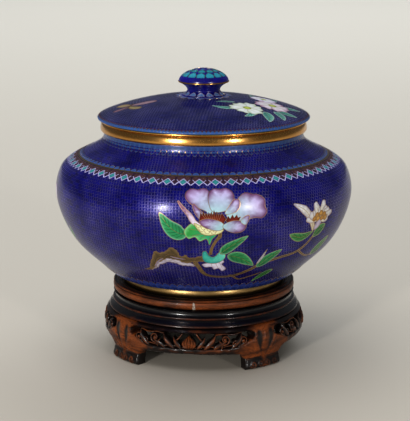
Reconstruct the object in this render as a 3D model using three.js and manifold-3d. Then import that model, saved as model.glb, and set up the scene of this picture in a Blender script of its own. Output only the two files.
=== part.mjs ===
// A lidded round cloisonne bowl on its carved hardwood stand.
// Millimetres, +Z up, the stand's feet on z = 0 and a pierced panel of the stand facing -Y.
import * as THREE from 'three';
import { mergeVertices } from 'three/addons/utils/BufferGeometryUtils.js';
import loadManifold from 'manifold-3d';

const wasm = await loadManifold();
wasm.setup();
const { Manifold, CrossSection } = wasm;

// Driving dimensions
const turns = 32;              // facets round every turned or spun piece
const knobTurns = 24;
const seam = 0.3;              // air between pieces that touch
const enamelWall = 3;          // copper with enamel on both faces

const bowlRadius = 125;
const mouthHeight = 187.7;
const mouthRadius = 83.6;
const collarTop = 195.8;
const lidEdgeHeight = 198.4;
const lidRadius = 89.2;
const lidCrownHeight = 216.5;
const knobHeight = 239.3;

const footRadius = 68.5;
const footRingHeight = 7.2;
const ledgeHeight = 58.4;
const rimRadius = 77.6;
const rimTop = 60;
const rimBase = 50.8;
const beadHeight = 44.7;
const beadRadius = 78;
const tableBase = 36.9;
const tableRadius = 81.2;

const feet = 4;
const apronTop = tableBase - seam;
const apronBulge = 85.4;
const apronWall = 9;
const legExtra = 4;            // how much further in the legs reach than the panels
const legWidth = 29;
const footWidth = 37;
const padHeight = 7.5;
const archHeight = 15.4;
const lowerRail = 5.6;
const upperRail = 3.7;

const bowlBase = ledgeHeight + seam + footRingHeight + seam;

// Materials
const finish = (color, roughness, metalness) => new THREE.MeshStandardMaterial({ color, roughness, metalness });
const cobaltEnamel = finish('#1d1a5c', 0.22, 0);
const tealEnamel = finish('#2c8f96', 0.22, 0);
const giltBrass = finish('#c08a3c', 0.3, 1);
const darkWood = finish('#2b1a16', 0.4, 0);
const wornWood = finish('#6b3a20', 0.4, 0);

// Profiles are [radius, height] pairs
const smooth = (points, count) =>
  new THREE.SplineCurve(points.map(([r, z]) => new THREE.Vector2(r, z))).getPoints(count).map((p) => [p.x, p.y]);

function arc([r, z], radius, from, to, count) {
  return Array.from({ length: count + 1 }, (_, i) => {
    const angle = THREE.MathUtils.degToRad(from + ((to - from) * i) / count);
    return [r + radius * Math.cos(angle), z + radius * Math.sin(angle)];
  });
}

// The same curve moved sideways by a distance, to the left of its direction
function offset(profile, distance) {
  return profile.map(([r, z], i) => {
    const [r0, z0] = profile[Math.max(i - 1, 0)];
    const [r1, z1] = profile[Math.min(i + 1, profile.length - 1)];
    const length = Math.hypot(r1 - r0, z1 - z0);
    return [r - (distance * (z1 - z0)) / length, z + (distance * (r1 - r0)) / length];
  });
}

function spun(name, profile, material, closed = true, count = turns) {
  const points = profile.map(([r, z]) => new THREE.Vector2(Math.max(r, 0), z));
  if (closed) points.push(points[0].clone());
  const geometry = new THREE.LatheGeometry(points, count);
  geometry.rotateX(Math.PI / 2);
  return named(name, geometry, material);
}

function named(name, geometry, material) {
  const mesh = new THREE.Mesh(geometry, material);
  mesh.name = name;
  return mesh;
}

// The bowl: a low round belly under a sloping shoulder and a short neck
function bowlBody() {
  const outside = smooth(
    [
      [footRadius, bowlBase],
      [78, bowlBase + 2],
      [90.3, 78.8],
      [108.6, 96.7],
      [119.8, 116.5],
      [bowlRadius, 137.5],
      [121.8, 154.5],
      [114.3, 163.4],
      [93, 174.6],
      [85, 181],
      [mouthRadius, mouthHeight],
    ],
    18,
  );
  const inside = offset(outside.filter((_, i) => i % 2 === 0), enamelWall).reverse();
  inside[0] = [mouthRadius - enamelWall, mouthHeight];
  inside[inside.length - 1] = [footRadius - 2, bowlBase + enamelWall];
  return spun('bowl_body', [[0, bowlBase], ...outside, ...inside, [0, bowlBase + enamelWall]], cobaltEnamel, false);
}

// Gilt collar on the bowl's mouth, which the lid's rim rests on
function mouthCollar() {
  const base = mouthHeight + seam;
  const inner = mouthRadius - enamelWall;
  return spun(
    'mouth_collar',
    [[inner, base], [84, base], [86.3, base + 2.2], [86.8, base + 4.8], [86.2, collarTop], [inner, collarTop]],
    giltBrass,
  );
}

function footRing() {
  const base = ledgeHeight + seam;
  const top = base + footRingHeight;
  return spun(
    'foot_ring',
    [[61.5, base], [66.6, base], [67.4, base + 2.5], [footRadius, top - 1.2], [footRadius, top], [61.5, top]],
    giltBrass,
  );
}

// The lid's gilt rim, with a flange that drops inside the collar
function lidRim() {
  const base = collarTop + seam;
  const top = lidEdgeHeight - 0.8;
  const flange = mouthRadius - enamelWall - 0.6;
  return spun(
    'lid_rim',
    [[flange - 1.8, base - 6], [flange, base - 6], [flange, base], [86.9, base], [86.9, top], [flange - 1.8, top]],
    giltBrass,
  );
}

function lidDome() {
  const outside = smooth(
    [
      [lidRadius - 1.6, lidEdgeHeight - 0.5],
      [lidRadius, lidEdgeHeight + 0.7],
      [84.2, 202.6],
      [66, 208.6],
      [44, 213.6],
      [20, lidCrownHeight],
    ],
    9,
  );
  const inside = offset(outside.filter((_, i) => i > 3 && i % 2 === 0), enamelWall).reverse();
  const edge = [mouthRadius - enamelWall - 2.4, lidEdgeHeight - 0.5];
  return spun(
    'lid_dome',
    [[0, lidCrownHeight - enamelWall], ...inside, edge, ...outside, [0, lidCrownHeight]],
    cobaltEnamel,
    false,
  );
}

// Mushroom finial: flared neck, overhanging cap with a petalled crown
function knob() {
  const base = lidCrownHeight + seam;
  const profile = [
    [0, base],
    [18.5, base],
    ...smooth([[18.5, base + 0.8], [15, base + 2], [13.6, 220.9], [15.6, 224.2], [19.6, 227]], 5),
    ...smooth([[21.5, 228.6], [20.8, 230.8], [17.8, 234.2], [11, 237.5], [5, knobHeight - 0.3]], 6),
    [0, knobHeight],
  ];
  return spun('lid_knob', profile, tealEnamel, false, knobTurns);
}

// The stand's top ring: a ledge for the foot ring inside a ridged lip, over a half-round moulding
function standRim() {
  const moulding = arc([rimRadius - 4, rimBase + 4.1], 4, -80, 60, 4);
  return spun(
    'stand_rim',
    [[56, rimBase], ...moulding, [rimRadius - 0.4, rimTop - 1.2], [73.6, rimTop], [70.4, rimTop - 0.7],
      [69.6, ledgeHeight], [56, ledgeHeight]],
    wornWood,
  );
}

function standTable() {
  const top = rimBase - seam;
  const waist = arc([beadRadius, (beadHeight + top) / 2], (top - beadHeight) / 2, 270, 90, 4);
  return spun(
    'stand_table',
    [[0, tableBase], [tableRadius, tableBase], [tableRadius, tableBase + 1.4], [78.6, tableBase + 3.4],
      [77.2, tableBase + 4.6], [beadRadius, beadHeight - 1.8], ...waist, [0, top]],
    darkWood,
    false,
  );
}

// The apron is drawn flat, along its arc and up its height, then bent round the stand
const unrolled = 85;           // radius at which a flat millimetre is a real one
const facetLength = 19;
const carvingBack = 3;
const carvingTolerance = 0.15;
const span = (2 * Math.PI * unrolled) / feet;
const field = span / 2 - legWidth / 2;

const apronOutline = new THREE.SplineCurve(
  [[83.6, 0], [83.8, 3], [82.8, 7], [83.2, 12], [84.8, 19], [apronBulge, 26], [84.2, 32], [tableRadius, apronTop]].map(
    ([r, z]) => new THREE.Vector2(r, z),
  ),
).getPoints(60);

function apronRadius(height) {
  const next = apronOutline.findIndex((p) => p.y >= height);
  if (next < 1) return apronOutline[next < 0 ? apronOutline.length - 1 : 0].x;
  const [low, high] = [apronOutline[next - 1], apronOutline[next]];
  return THREE.MathUtils.lerp(low.x, high.x, (height - low.y) / (high.y - low.y));
}

const flat = (points) => new CrossSection([points], 'NonZero');
const mirrored = (section) => section.add(section.mirror([1, 0]));

// A band that follows a line, with its own half width at each place along it
function band(line, halfWidth) {
  const side = (sign) =>
    line.map(([x, y], i) => {
      const [x0, y0] = line[Math.max(i - 1, 0)];
      const [x1, y1] = line[Math.min(i + 1, line.length - 1)];
      const length = Math.hypot(x1 - x0, y1 - y0);
      const half = sign * halfWidth(i / (line.length - 1));
      return [x - (half * (y1 - y0)) / length, y + (half * (x1 - x0)) / length];
    });
  return flat([...side(-1), ...side(1).reverse()]);
}

function leaf(base, tip, width, bend = 0) {
  const steps = 4;
  const line = Array.from({ length: steps + 1 }, (_, i) => {
    const t = i / steps;
    const sag = bend * Math.sin(Math.PI * t);
    return [base[0] + (tip[0] - base[0]) * t + sag, base[1] + (tip[1] - base[1]) * t];
  });
  return band(line, (t) => (width / 2) * Math.sin(Math.PI * t ** 0.75));
}

// A scroll: a tapering stem that ends in a spiral about its centre
function scroll(centre, radius, start, sweep, width) {
  const steps = 6;
  const line = Array.from({ length: steps + 1 }, (_, i) => {
    const t = i / steps;
    const angle = THREE.MathUtils.degToRad(start + sweep * t);
    const reach = radius * (1 - 0.72 * t);
    return [centre[0] + reach * Math.cos(angle), centre[1] + reach * Math.sin(angle)];
  });
  return band(line, (t) => width * (0.5 - 0.18 * t));
}

function panelHole() {
  const [low, high] = [archHeight + lowerRail, apronTop - upperRail];
  const corner = 3;
  const hole = CrossSection.square([2 * (field - corner), high - low - 2 * corner], true);
  return hole.offset(corner, 'Round', 2, 12).translate([0, (low + high) / 2]);
}

const lotusBud = () => leaf([0, archHeight + lowerRail - 2.5], [0, apronTop - upperRail + 0.8], 10.5);

// Radiating leaves and scrolls either side of the bud
function panelCarving() {
  const low = archHeight + lowerRail - 1;
  const side = CrossSection.union([
    leaf([6, low], [13.4, low + 10.6], 4.4, 1),
    leaf([12, low], [22.4, low + 12.6], 5, 1.6),
    leaf([20, low - 0.6], [33, low + 7.4], 4.4, -1.4),
    scroll([30, low + 8], 4.8, -150, 480, 2.4),
    leaf([35, low], [45, low + 12.6], 4.6, 2.4),
    scroll([46, low + 4.8], 4.2, 220, -440, 2.2),
  ]);
  return mirrored(side);
}

// One quarter of the apron from leg centre to leg centre, flat, with its carving proud of the face
function apronQuarter() {
  const block = (section, from, to) => section.extrude(to - from).translate([0, 0, from]);
  const edge = span / 2;
  const archHalf = edge - footWidth / 2;
  const strip = CrossSection.square([span, apronTop], false).translate([-edge, 0]);
  const half = [[0, -1], [archHalf, -1], [archHalf, padHeight], [archHalf - 0.8, 10.2], [archHalf - 3, 12.8],
    [archHalf - 8, 14.2], [16, archHeight], [0, archHeight + 0.6]];
  const arch = mirrored(flat(half));
  const wall = block(strip.subtract(arch).subtract(panelHole()), 0, apronWall);
  const carving = block(panelCarving(), carvingBack, apronWall);
  const bud = block(lotusBud(), carvingBack, apronWall + 1);
  const legSide = CrossSection.square([legWidth / 2 - 2, apronTop], false).translate([edge - legWidth / 2 + 2, 0]);
  const legs = block(mirrored(legSide), -legExtra, apronWall);
  const padSide = CrossSection.square([footWidth / 2, padHeight], false).translate([archHalf, 0]);
  const pads = block(mirrored(padSide), -legExtra, apronWall + 1.2);
  const spray = CrossSection.union([
    leaf([edge, 9], [edge, 34], 7),
    leaf([edge - 3, 11], [edge - 11, 29], 5, -2),
    leaf([edge - 4, 9.5], [edge - 15, 16], 4.4),
  ]);
  const sprays = block(mirrored(spray).intersect(strip), apronWall - 1, apronWall + 0.8);
  return Manifold.union([wall, carving, bud, legs, pads, sprays]).simplify(0.02);
}

function bend(quarter, index) {
  return quarter.warp((vertex) => {
    const [along, height, out] = vertex;
    const angle = along / unrolled + ((index - feet / 4) * 2 * Math.PI) / feet;
    const radius = apronRadius(height) - apronWall + out;
    vertex[0] = radius * Math.cos(angle);
    vertex[1] = radius * Math.sin(angle);
    vertex[2] = height;
  });
}

function toGeometry(solid) {
  const { numProp, vertProperties, triVerts } = solid.getMesh();
  const geometry = new THREE.BufferGeometry();
  const positions = new Float32Array((vertProperties.length / numProp) * 3);
  for (let i = 0; i < positions.length / 3; i += 1) {
    positions.set(vertProperties.subarray(i * numProp, i * numProp + 3), i * 3);
  }
  geometry.setAttribute('position', new THREE.BufferAttribute(positions, 3));
  geometry.setIndex([...triVerts]);
  return mergeVertices(geometry, 1e-4);
}

function standApron() {
  const quarter = apronQuarter().refineToLength(facetLength);
  const quarters = Array.from({ length: feet }, (_, i) => bend(quarter, i));
  return named('stand_apron', toGeometry(Manifold.union(quarters).simplify(carvingTolerance)), wornWood);
}

const jar = new THREE.Group();
jar.add(bowlBody(), mouthCollar(), footRing(), lidRim(), lidDome(), knob());

const stand = new THREE.Group();
stand.add(standRim(), standTable(), standApron());

const cloisonneJar = new THREE.Group();
cloisonneJar.add(jar, stand);

export default cloisonneJar;
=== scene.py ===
# Looks for a lidded cloisonne bowl on its carved stand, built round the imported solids
import math

import bmesh
import bpy
import numpy as np
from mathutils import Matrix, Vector
from mathutils.geometry import delaunay_2d_cdt


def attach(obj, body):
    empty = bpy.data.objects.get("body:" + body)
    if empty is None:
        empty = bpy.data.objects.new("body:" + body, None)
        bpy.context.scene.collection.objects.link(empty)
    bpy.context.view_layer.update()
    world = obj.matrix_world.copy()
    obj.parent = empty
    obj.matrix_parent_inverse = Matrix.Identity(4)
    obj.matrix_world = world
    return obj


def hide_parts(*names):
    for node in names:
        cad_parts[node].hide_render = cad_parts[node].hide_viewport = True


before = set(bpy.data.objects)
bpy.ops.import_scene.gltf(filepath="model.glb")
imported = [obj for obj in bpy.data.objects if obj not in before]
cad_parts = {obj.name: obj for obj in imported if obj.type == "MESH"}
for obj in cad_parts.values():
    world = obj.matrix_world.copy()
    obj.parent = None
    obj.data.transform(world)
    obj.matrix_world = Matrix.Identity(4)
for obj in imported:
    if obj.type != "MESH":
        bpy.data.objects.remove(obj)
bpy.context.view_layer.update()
mm = 0.001
print("frame loaded")


def linear(code):
    # a hex colour as the linear red, green and blue that shaders work in
    parts = [int(code[i:i + 2], 16) / 255 for i in (1, 3, 5)]
    return np.array([p / 12.92 if p < 0.04045 else ((p + 0.055) / 1.055) ** 2.4 for p in parts])


def mixed(a, b, t):
    t = np.clip(t, 0, 1)
    return a * (1 - t) + b * t


# Lines, outlines and spun surfaces, all in millimetres

def smoothLine(points, count, closed=False):
    # a smooth curve through points, in count steps
    points = np.array(points, float)
    if closed:
        points = np.vstack([points, points[:1]])
    last = len(points) - 1
    t = np.linspace(0, last, count + 1)
    k = np.minimum(t.astype(int), last - 1)
    w = (t - k)[:, None]
    before, after = k - 1, k + 2
    if closed:
        before, after = before % last, after % last
    else:
        before, after = np.maximum(before, 0), np.minimum(after, last)
    p0, p1, p2, p3 = points[before], points[k], points[k + 1], points[after]
    v0, v1 = (p2 - p0) / 2, (p3 - p1) / 2
    line = (2 * p1 - 2 * p2 + v0 + v1) * w**3 + (3 * p2 - 3 * p1 - 2 * v0 - v1) * w**2 + v0 * w + p1
    return line[:-1] if closed else line


def sideways(line, closed=False):
    # the unit direction to the left of a line at each of its points
    if closed:
        step = np.roll(line, -1, axis=0) - np.roll(line, 1, axis=0)
    else:
        step = np.gradient(line, axis=0)
    step = step / np.maximum(np.linalg.norm(step, axis=1, keepdims=True), 1e-9)
    return np.stack([-step[:, 1], step[:, 0]], axis=1)


def ribbon(line, width):
    # the outline of a strip along a line, the width a number or one for each point
    half = np.broadcast_to(np.asarray(width, float) / 2, (len(line),))[:, None]
    side = sideways(line)
    return np.vstack([line - side * half, (line + side * half)[::-1]])


def counterClockwise(outline):
    x, y = outline[:, 0], outline[:, 1]
    area = np.sum(x * np.roll(y, -1) - np.roll(x, -1) * y)
    return outline if area > 0 else outline[::-1]


class Spun:
    # a spun surface by angle, in radians from the front to the right, and distance along its profile
    def __init__(self, points, count=500):
        self.line = smoothLine(points, count)
        lengths = np.linalg.norm(np.diff(self.line, axis=0), axis=1)
        self.along = np.concatenate([[0], np.cumsum(lengths)])
        self.length = self.along[-1]
        slope = np.gradient(self.line, self.along, axis=0)
        self.slope = slope / np.linalg.norm(slope, axis=1, keepdims=True)

    def radius(self, s):
        return np.interp(s, self.along, self.line[:, 0])

    def height(self, s):
        return np.interp(s, self.along, self.line[:, 1])

    def normal(self, angle, s):
        across = np.interp(s, self.along, self.slope[:, 1])
        up = -np.interp(s, self.along, self.slope[:, 0])
        return np.stack([across * np.sin(angle), -across * np.cos(angle), up], axis=1)

    def at(self, angle, s, lift=0.0):
        r = self.radius(s)
        place = np.stack([r * np.sin(angle), -r * np.cos(angle), self.height(s)], axis=1)
        return place + self.normal(angle, s) * lift


# Meshes

def meshObject(name, vertices, faces, materials, faceMaterials=None, sharp=None):
    # a smooth-shaded object from millimetres, with edges steeper than sharp degrees kept crisp
    mesh = bpy.data.meshes.new(name)
    mesh.from_pydata((np.asarray(vertices) * mm).tolist(), [], [list(map(int, f)) for f in faces])
    for material in materials:
        mesh.materials.append(material)
    if faceMaterials is not None:
        mesh.polygons.foreach_set("material_index", np.asarray(faceMaterials, np.int32))
    mesh.polygons.foreach_set("use_smooth", np.full(len(faces), True))
    if sharp:
        mesh.set_sharp_from_angle(angle=math.radians(sharp))
    mesh.validate()
    thing = bpy.data.objects.new(name, mesh)
    bpy.context.collection.objects.link(thing)
    return thing


def cornerLayer(mesh, name, values):
    layer = mesh.uv_layers.new(name=name)
    layer.data.foreach_set("uv", np.asarray(values, np.float32).ravel())


def cornerColours(mesh, name, values):
    layer = mesh.color_attributes.new(name=name, type="FLOAT_COLOR", domain="CORNER")
    full = np.concatenate([values, np.ones((len(values), 1))], axis=1)
    layer.data.foreach_set("color", full.astype(np.float32).ravel())


def pointNumbers(mesh, name, values):
    layer = mesh.attributes.new(name=name, type="FLOAT", domain="POINT")
    layer.data.foreach_set("value", np.asarray(values, np.float32))


def finished(thing, slot, *nodes):
    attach(thing, "root")
    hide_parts(*nodes)


def turned(name, profile, material, around=224, sharp=38, closed=True):
    # a closed profile, or one that runs from pole to pole, spun round the axis
    profile = np.array(profile, float)
    rings = len(profile)
    angle = np.arange(around) * 2 * math.pi / around
    vertices, index = [], np.zeros((rings, around), int)
    for i, (r, z) in enumerate(profile):
        if r < 1e-6:
            index[i, :] = len(vertices)
            vertices.append([0, 0, z])
        else:
            index[i, :] = len(vertices) + np.arange(around)
            vertices += np.stack([r * np.sin(angle), -r * np.cos(angle), np.full(around, z)], axis=1).tolist()
    faces = []
    for i in range(rings if closed else rings - 1):
        a, b = index[i], index[(i + 1) % rings]
        for k in range(around):
            n = (k + 1) % around
            loop = [a[k], a[n], b[n], b[k]]
            loop = [v for j, v in enumerate(loop) if v != loop[j - 1]]
            if len(set(loop)) > 2:
                faces.append(loop)
    return meshObject(name, vertices, faces, [material], sharp=sharp)


def repeatRound(thing, count, material):
    # copies of a motif turned about the axis, made by Geometry Nodes
    tree = bpy.data.node_groups.new("repeatRound", "GeometryNodeTree")
    face = tree.interface
    face.new_socket("Motif", in_out="INPUT", socket_type="NodeSocketGeometry")
    countSocket = face.new_socket("Count", in_out="INPUT", socket_type="NodeSocketInt")
    materialSocket = face.new_socket("Material", in_out="INPUT", socket_type="NodeSocketMaterial")
    face.new_socket("Ring", in_out="OUTPUT", socket_type="NodeSocketGeometry")
    add = tree.nodes.new
    start, end = add("NodeGroupInput"), add("NodeGroupOutput")
    points, index, divide, turn = (add(kind) for kind in (
        "GeometryNodePoints", "GeometryNodeInputIndex", "ShaderNodeMath", "ShaderNodeMath"))
    divide.operation, turn.operation = "DIVIDE", "MULTIPLY"
    spin, place = add("ShaderNodeCombineXYZ"), add("GeometryNodeInstanceOnPoints")
    real, paint = add("GeometryNodeRealizeInstances"), add("GeometryNodeSetMaterial")
    turn.inputs[1].default_value = 2 * math.pi
    for source, output, target, entry in (
        (start, "Count", points, "Count"), (index, 0, divide, 0), (start, "Count", divide, 1),
        (divide, 0, turn, 0), (turn, 0, spin, "Z"), (points, 0, place, "Points"),
        (start, "Motif", place, "Instance"), (spin, 0, place, "Rotation"), (place, 0, real, 0),
        (real, 0, paint, "Geometry"), (start, "Material", paint, "Material"), (paint, 0, end, 0),
    ):
        tree.links.new(source.outputs[output], target.inputs[entry])
    modifier = thing.modifiers.new("ring", "NODES")
    modifier.node_group = tree
    modifier[countSocket.identifier] = count
    modifier[materialSocket.identifier] = material
    bpy.context.view_layer.update()
    ring = thing.evaluated_get(bpy.context.evaluated_depsgraph_get())
    mesh = bpy.data.meshes.new_from_object(ring)
    thing.modifiers.remove(modifier)
    thing.data = mesh
    return thing


# Shaders

class Value:
    # a shader socket that can be used in sums
    def __init__(self, shader, socket):
        self.shader, self.socket = shader, socket

    def math(self, operation, *others, clamp=False):
        made = self.shader.node("ShaderNodeMath", {"operation": operation, "use_clamp": clamp}, self, *others)
        return Value(self.shader, made.outputs[0])

    def __add__(self, other):
        return self.math("ADD", other)

    def __sub__(self, other):
        return self.math("SUBTRACT", other)

    def __rsub__(self, other):
        return self.math("MULTIPLY", -1).math("ADD", other)

    def __mul__(self, other):
        return self.math("MULTIPLY", other)

    __radd__ = __add__
    __rmul__ = __mul__

    def clamp(self):
        return self.math("ADD", 0, clamp=True)

    def abs(self):
        return self.math("ABSOLUTE")

    def fraction(self):
        return self.math("FRACT")

    def whole(self):
        return self.math("FLOOR")

    def least(self, other):
        return self.math("MINIMUM", other)

    def most(self, other):
        return self.math("MAXIMUM", other)

    def step(self, low, high):
        # 0 below low, 1 above high, even between
        return ((self - low) * (1 / (high - low))).clamp()


class Shader:
    # a new material, with short ways to add its nodes; an underscore in a socket's name stands for a space
    def __init__(self, name):
        self.material = bpy.data.materials.new(name)
        self.material.use_nodes = True
        self.tree = self.material.node_tree
        self.surface = self.tree.nodes["Principled BSDF"]

    def node(self, kind, settings=None, *values, **named):
        made = self.tree.nodes.new(kind)
        for key, value in (settings or {}).items():
            setattr(made, key, value)
        for key, value in [*enumerate(values), *((k.replace("_", " "), v) for k, v in named.items())]:
            self.put(made.inputs[key], value)
        return made

    def put(self, socket, value):
        if isinstance(value, Value):
            self.tree.links.new(value.socket, socket)
        elif isinstance(value, bpy.types.NodeSocket):
            self.tree.links.new(value, socket)
        elif socket.type == "RGBA":
            socket.default_value = (*(linear(value) if isinstance(value, str) else value), 1)
        else:
            socket.default_value = value

    def set(self, **named):
        for key, value in named.items():
            self.put(self.surface.inputs[key.replace("_", " ")], value)

    def number(self, name):
        return Value(self, self.node("ShaderNodeAttribute", {"attribute_name": name}).outputs["Fac"])

    def place(self, stretch=(1, 1, 1)):
        where = self.node("ShaderNodeTexCoord").outputs["Object"]
        return self.node("ShaderNodeMapping", {}, Vector=where, Scale=stretch).outputs[0]

    def noise(self, scale, detail=3, roughness=0.5, vector=None, warp=0.0):
        made = self.node("ShaderNodeTexNoise", {}, Vector=vector or self.place(), Scale=scale, Detail=detail,
                         Roughness=roughness, Distortion=warp)
        return Value(self, made.outputs["Fac"])

    def mix(self, factor, a, b, blend="MIX"):
        made = self.tree.nodes.new("ShaderNodeMix")
        made.data_type, made.blend_type = "RGBA", blend
        self.put(made.inputs[0], factor)
        self.put(made.inputs[6], a)
        self.put(made.inputs[7], b)
        return made.outputs[2]

    def bump(self, height, distance, strength):
        made = self.node("ShaderNodeBump", {}, Height=height, Distance=distance, Strength=strength)
        self.put(self.surface.inputs["Normal"], made.outputs[0])


def enamelGround(name, settings):
    # enamel laid between the wires of a fine fret: rows of Ts that lock into each other
    shader = Shader(name)
    uv = shader.node("ShaderNodeUVMap", {"uv_map": "fret"}).outputs[0]
    parts = shader.node("ShaderNodeSeparateXYZ", {}, Vector=uv).outputs
    u, v = Value(shader, parts[0]), Value(shader, parts[1])
    x, y = u.fraction(), v.fraction()

    def near(distance):
        return ((settings["wireHalf"] - distance) * (1 / settings["wireSoft"]) + 0.5).clamp()

    bar, reach = settings["barHalf"], settings["stemReach"]
    row = near(y.least(1 - y) * 0.75)
    stemUp = near((x - 0.25).abs().most(y - reach))
    barUp = near((y - reach).abs().most((x - 0.25).abs() - bar))
    stemDown = near((x - 0.75).abs().most(1 - reach - y))
    barDown = near((y - (1 - reach)).abs().most((x - 0.75).abs() - bar))
    wire = row.most(stemUp).most(barUp).most(stemDown).most(barDown)
    cell = shader.node("ShaderNodeCombineXYZ", {}, u.whole(), v.whole()).outputs[0]
    chance = shader.node("ShaderNodeTexWhiteNoise", {"noise_dimensions": "2D"}, Vector=cell)
    each = Value(shader, chance.outputs[0])
    cloud = shader.noise(38, detail=4)
    fine = shader.noise(900, detail=2)
    height = Value(shader, shader.node("ShaderNodeSeparateXYZ", {}, Vector=shader.place()).outputs["Z"])
    aboveFootShade = height.step(*settings["paintedFootShade"])      # painted shade: towards the foot the glass is darkened and the wires dimmed
    # painted shade: the glass tone and the wires go darker towards the foot
    tone = (cloud.step(0.3, 0.7) * 0.3 + each * 0.5).clamp() * (aboveFootShade * 0.7 + 0.3)
    shown = wire * (aboveFootShade * 0.6 + 0.4) * settings["wireShow"]
    glass = shader.mix(tone, settings["deep"], settings["bright"])
    metal = shader.mix(cloud.step(0.35, 0.65), settings["wireDull"], settings["wireBright"])
    shader.set(Base_Color=shader.mix(shown, glass, metal))
    shader.set(Metallic=shown)
    shader.set(Roughness=settings["gloss"] + fine * 0.05 + cloud * 0.05 + wire * 0.26)
    shader.set(Specular_IOR_Level=settings["sheen"])
    pits = fine.step(0.66, 0.74)
    shader.bump(wire * 0.5 + fine * 0.25 - pits * 0.6, 0.00005, 0.6)
    return shader.material


def enamelCells(name):
    # ground and polished enamel that takes its colour from the drawing
    shader = Shader(name)
    colour = shader.node("ShaderNodeAttribute", {"attribute_name": "enamel"}).outputs["Color"]
    cloud = shader.noise(260, detail=3)
    grain = shader.noise(1500, detail=2)
    dark = shader.mix(1.0, colour, (0.84, 0.84, 0.86), "MULTIPLY")
    shader.set(Base_Color=shader.mix(cloud.step(0.3, 0.62), dark, colour))
    shader.set(Specular_IOR_Level=0.35)
    shader.set(Roughness=0.17 + grain * 0.12)
    shader.bump(grain * 0.4 - grain.step(0.68, 0.75), 0.00004, 0.5)
    return shader.material


def giltMetal(name, settings):
    # gilding over brass: turned lines round it, rubbed and tarnished in places
    shader = Shader(name)
    lines = shader.noise(160, detail=2, vector=shader.place((0.25, 0.25, 14)))
    cloud = shader.noise(55, detail=5)
    specks = shader.noise(1100, detail=2)
    worn = (cloud.step(0.42, 0.7) * 0.7 + lines.step(0.5, 0.8) * 0.3).clamp()
    gilt = shader.mix(worn, settings["bright"], settings["dull"])
    stains = specks.step(0.62, 0.72) * settings["stains"]
    shader.set(Base_Color=shader.mix(stains, gilt, settings["tarnish"]), Metallic=1.0)
    shader.set(Roughness=settings["roughness"] + cloud * 0.12 + lines * 0.05 + stains * 0.25)
    shader.bump(lines * 0.5 + specks * 0.3 + cloud * 0.4, 0.00006, 0.5)
    return shader.material


def lacqueredWood(name, settings):
    # dense brown wood under dark lacquer, which the wear attribute and the noise rub through
    shader = Shader(name)
    stretched = shader.place(settings["grainStretch"])
    grain = shader.noise(46, detail=6, roughness=0.62, vector=stretched, warp=0.5)
    pores = shader.noise(420, detail=2, vector=stretched)
    cloud = shader.noise(30, detail=4)
    wear = shader.number("wear")
    rubbed = (wear * 1.25 + (cloud - 0.5) * 0.9 + (grain - 0.5) * 0.5 - 0.12).step(0.12, 0.62)
    light = shader.mix(grain.step(0.34, 0.66), settings["woodDark"], settings["woodLight"])
    light = shader.mix(pores.step(0.56, 0.64) * 0.65, light, settings["pore"])
    shader.set(Base_Color=shader.mix(rubbed, settings["lacquer"], light))
    shader.set(Roughness=settings["roughness"] + rubbed * 0.1 + cloud * 0.14)
    shader.set(Coat_Weight=(1 - rubbed) * settings["lacquerCoat"] + 0.05)
    shader.set(Coat_Roughness=0.13, Specular_IOR_Level=0.3)
    waves = shader.noise(settings["waveScale"], detail=2)
    shader.bump(grain * 0.6 + pores * 0.5 + cloud * 0.2 + waves * settings["waves"], 0.00012, 0.55)
    return shader.material


# paintedFootShade: the heights, in metres, over which the painted shade at the foot fades out
fretWires = {
    "wireHalf": 0.055, "wireSoft": 0.05, "wireShow": 0.8, "barHalf": 0.11, "stemReach": 0.6,
    "gloss": 0.1, "sheen": 0.26, "paintedFootShade": (0.072, 0.1), "wireDull": "#3a3570", "wireBright": "#7c76a2",
}
cobaltGround = enamelGround("cobaltGround", {**fretWires, "deep": "#040440", "bright": "#0b0b84"})
# painted sheen: the lid's ground is a greyer, lighter copy of the cobalt ground with brighter wires
lidGroundPaintedSheen = enamelGround("lidGroundPaintedSheen", {
    **fretWires, "deep": "#0e123c", "bright": "#191d64", "wireDull": "#4a4672", "wireBright": "#8e8aae"})
enamel = enamelCells("cellEnamel")
giltWire = giltMetal("giltWire", {
    "bright": "#bd9c72", "dull": "#8c6c4a", "tarnish": "#4c3824", "stains": 0.4, "roughness": 0.24})
giltBrass = giltMetal("giltBrass", {
    "bright": "#d6a25c", "dull": "#b78446", "tarnish": "#6e4c24", "stains": 0.5, "roughness": 0.14})
# a darker, duller copy of the gilt brass, used only for the foot ring
darkerFootBrass = giltMetal("darkerFootBrass", {
    "bright": "#a88c5e", "dull": "#7c6440", "tarnish": "#4a3a22", "stains": 0.7, "roughness": 0.27})
wornWood = lacqueredWood("wornHardwood", {
    "grainStretch": (1, 1, 5), "woodDark": "#3a1c0c", "woodLight": "#83461f", "pore": "#1e0c05",
    "lacquer": "#120a08", "roughness": 0.3, "lacquerCoat": 0.25, "waveScale": 140, "waves": 0.5})
# the lacquer is black; its faint blue tint is a painted sheen off the table top
darkWood = lacqueredWood("darkHardwood", {
    "grainStretch": (1, 5, 1), "woodDark": "#2a130b", "woodLight": "#572a16", "pore": "#0d0605",
    "lacquer": "#0d0c10", "roughness": 0.22, "lacquerCoat": 0.5, "waveScale": 170, "waves": 2.2})
print("materials made")

# The stand, turned parts first

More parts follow.
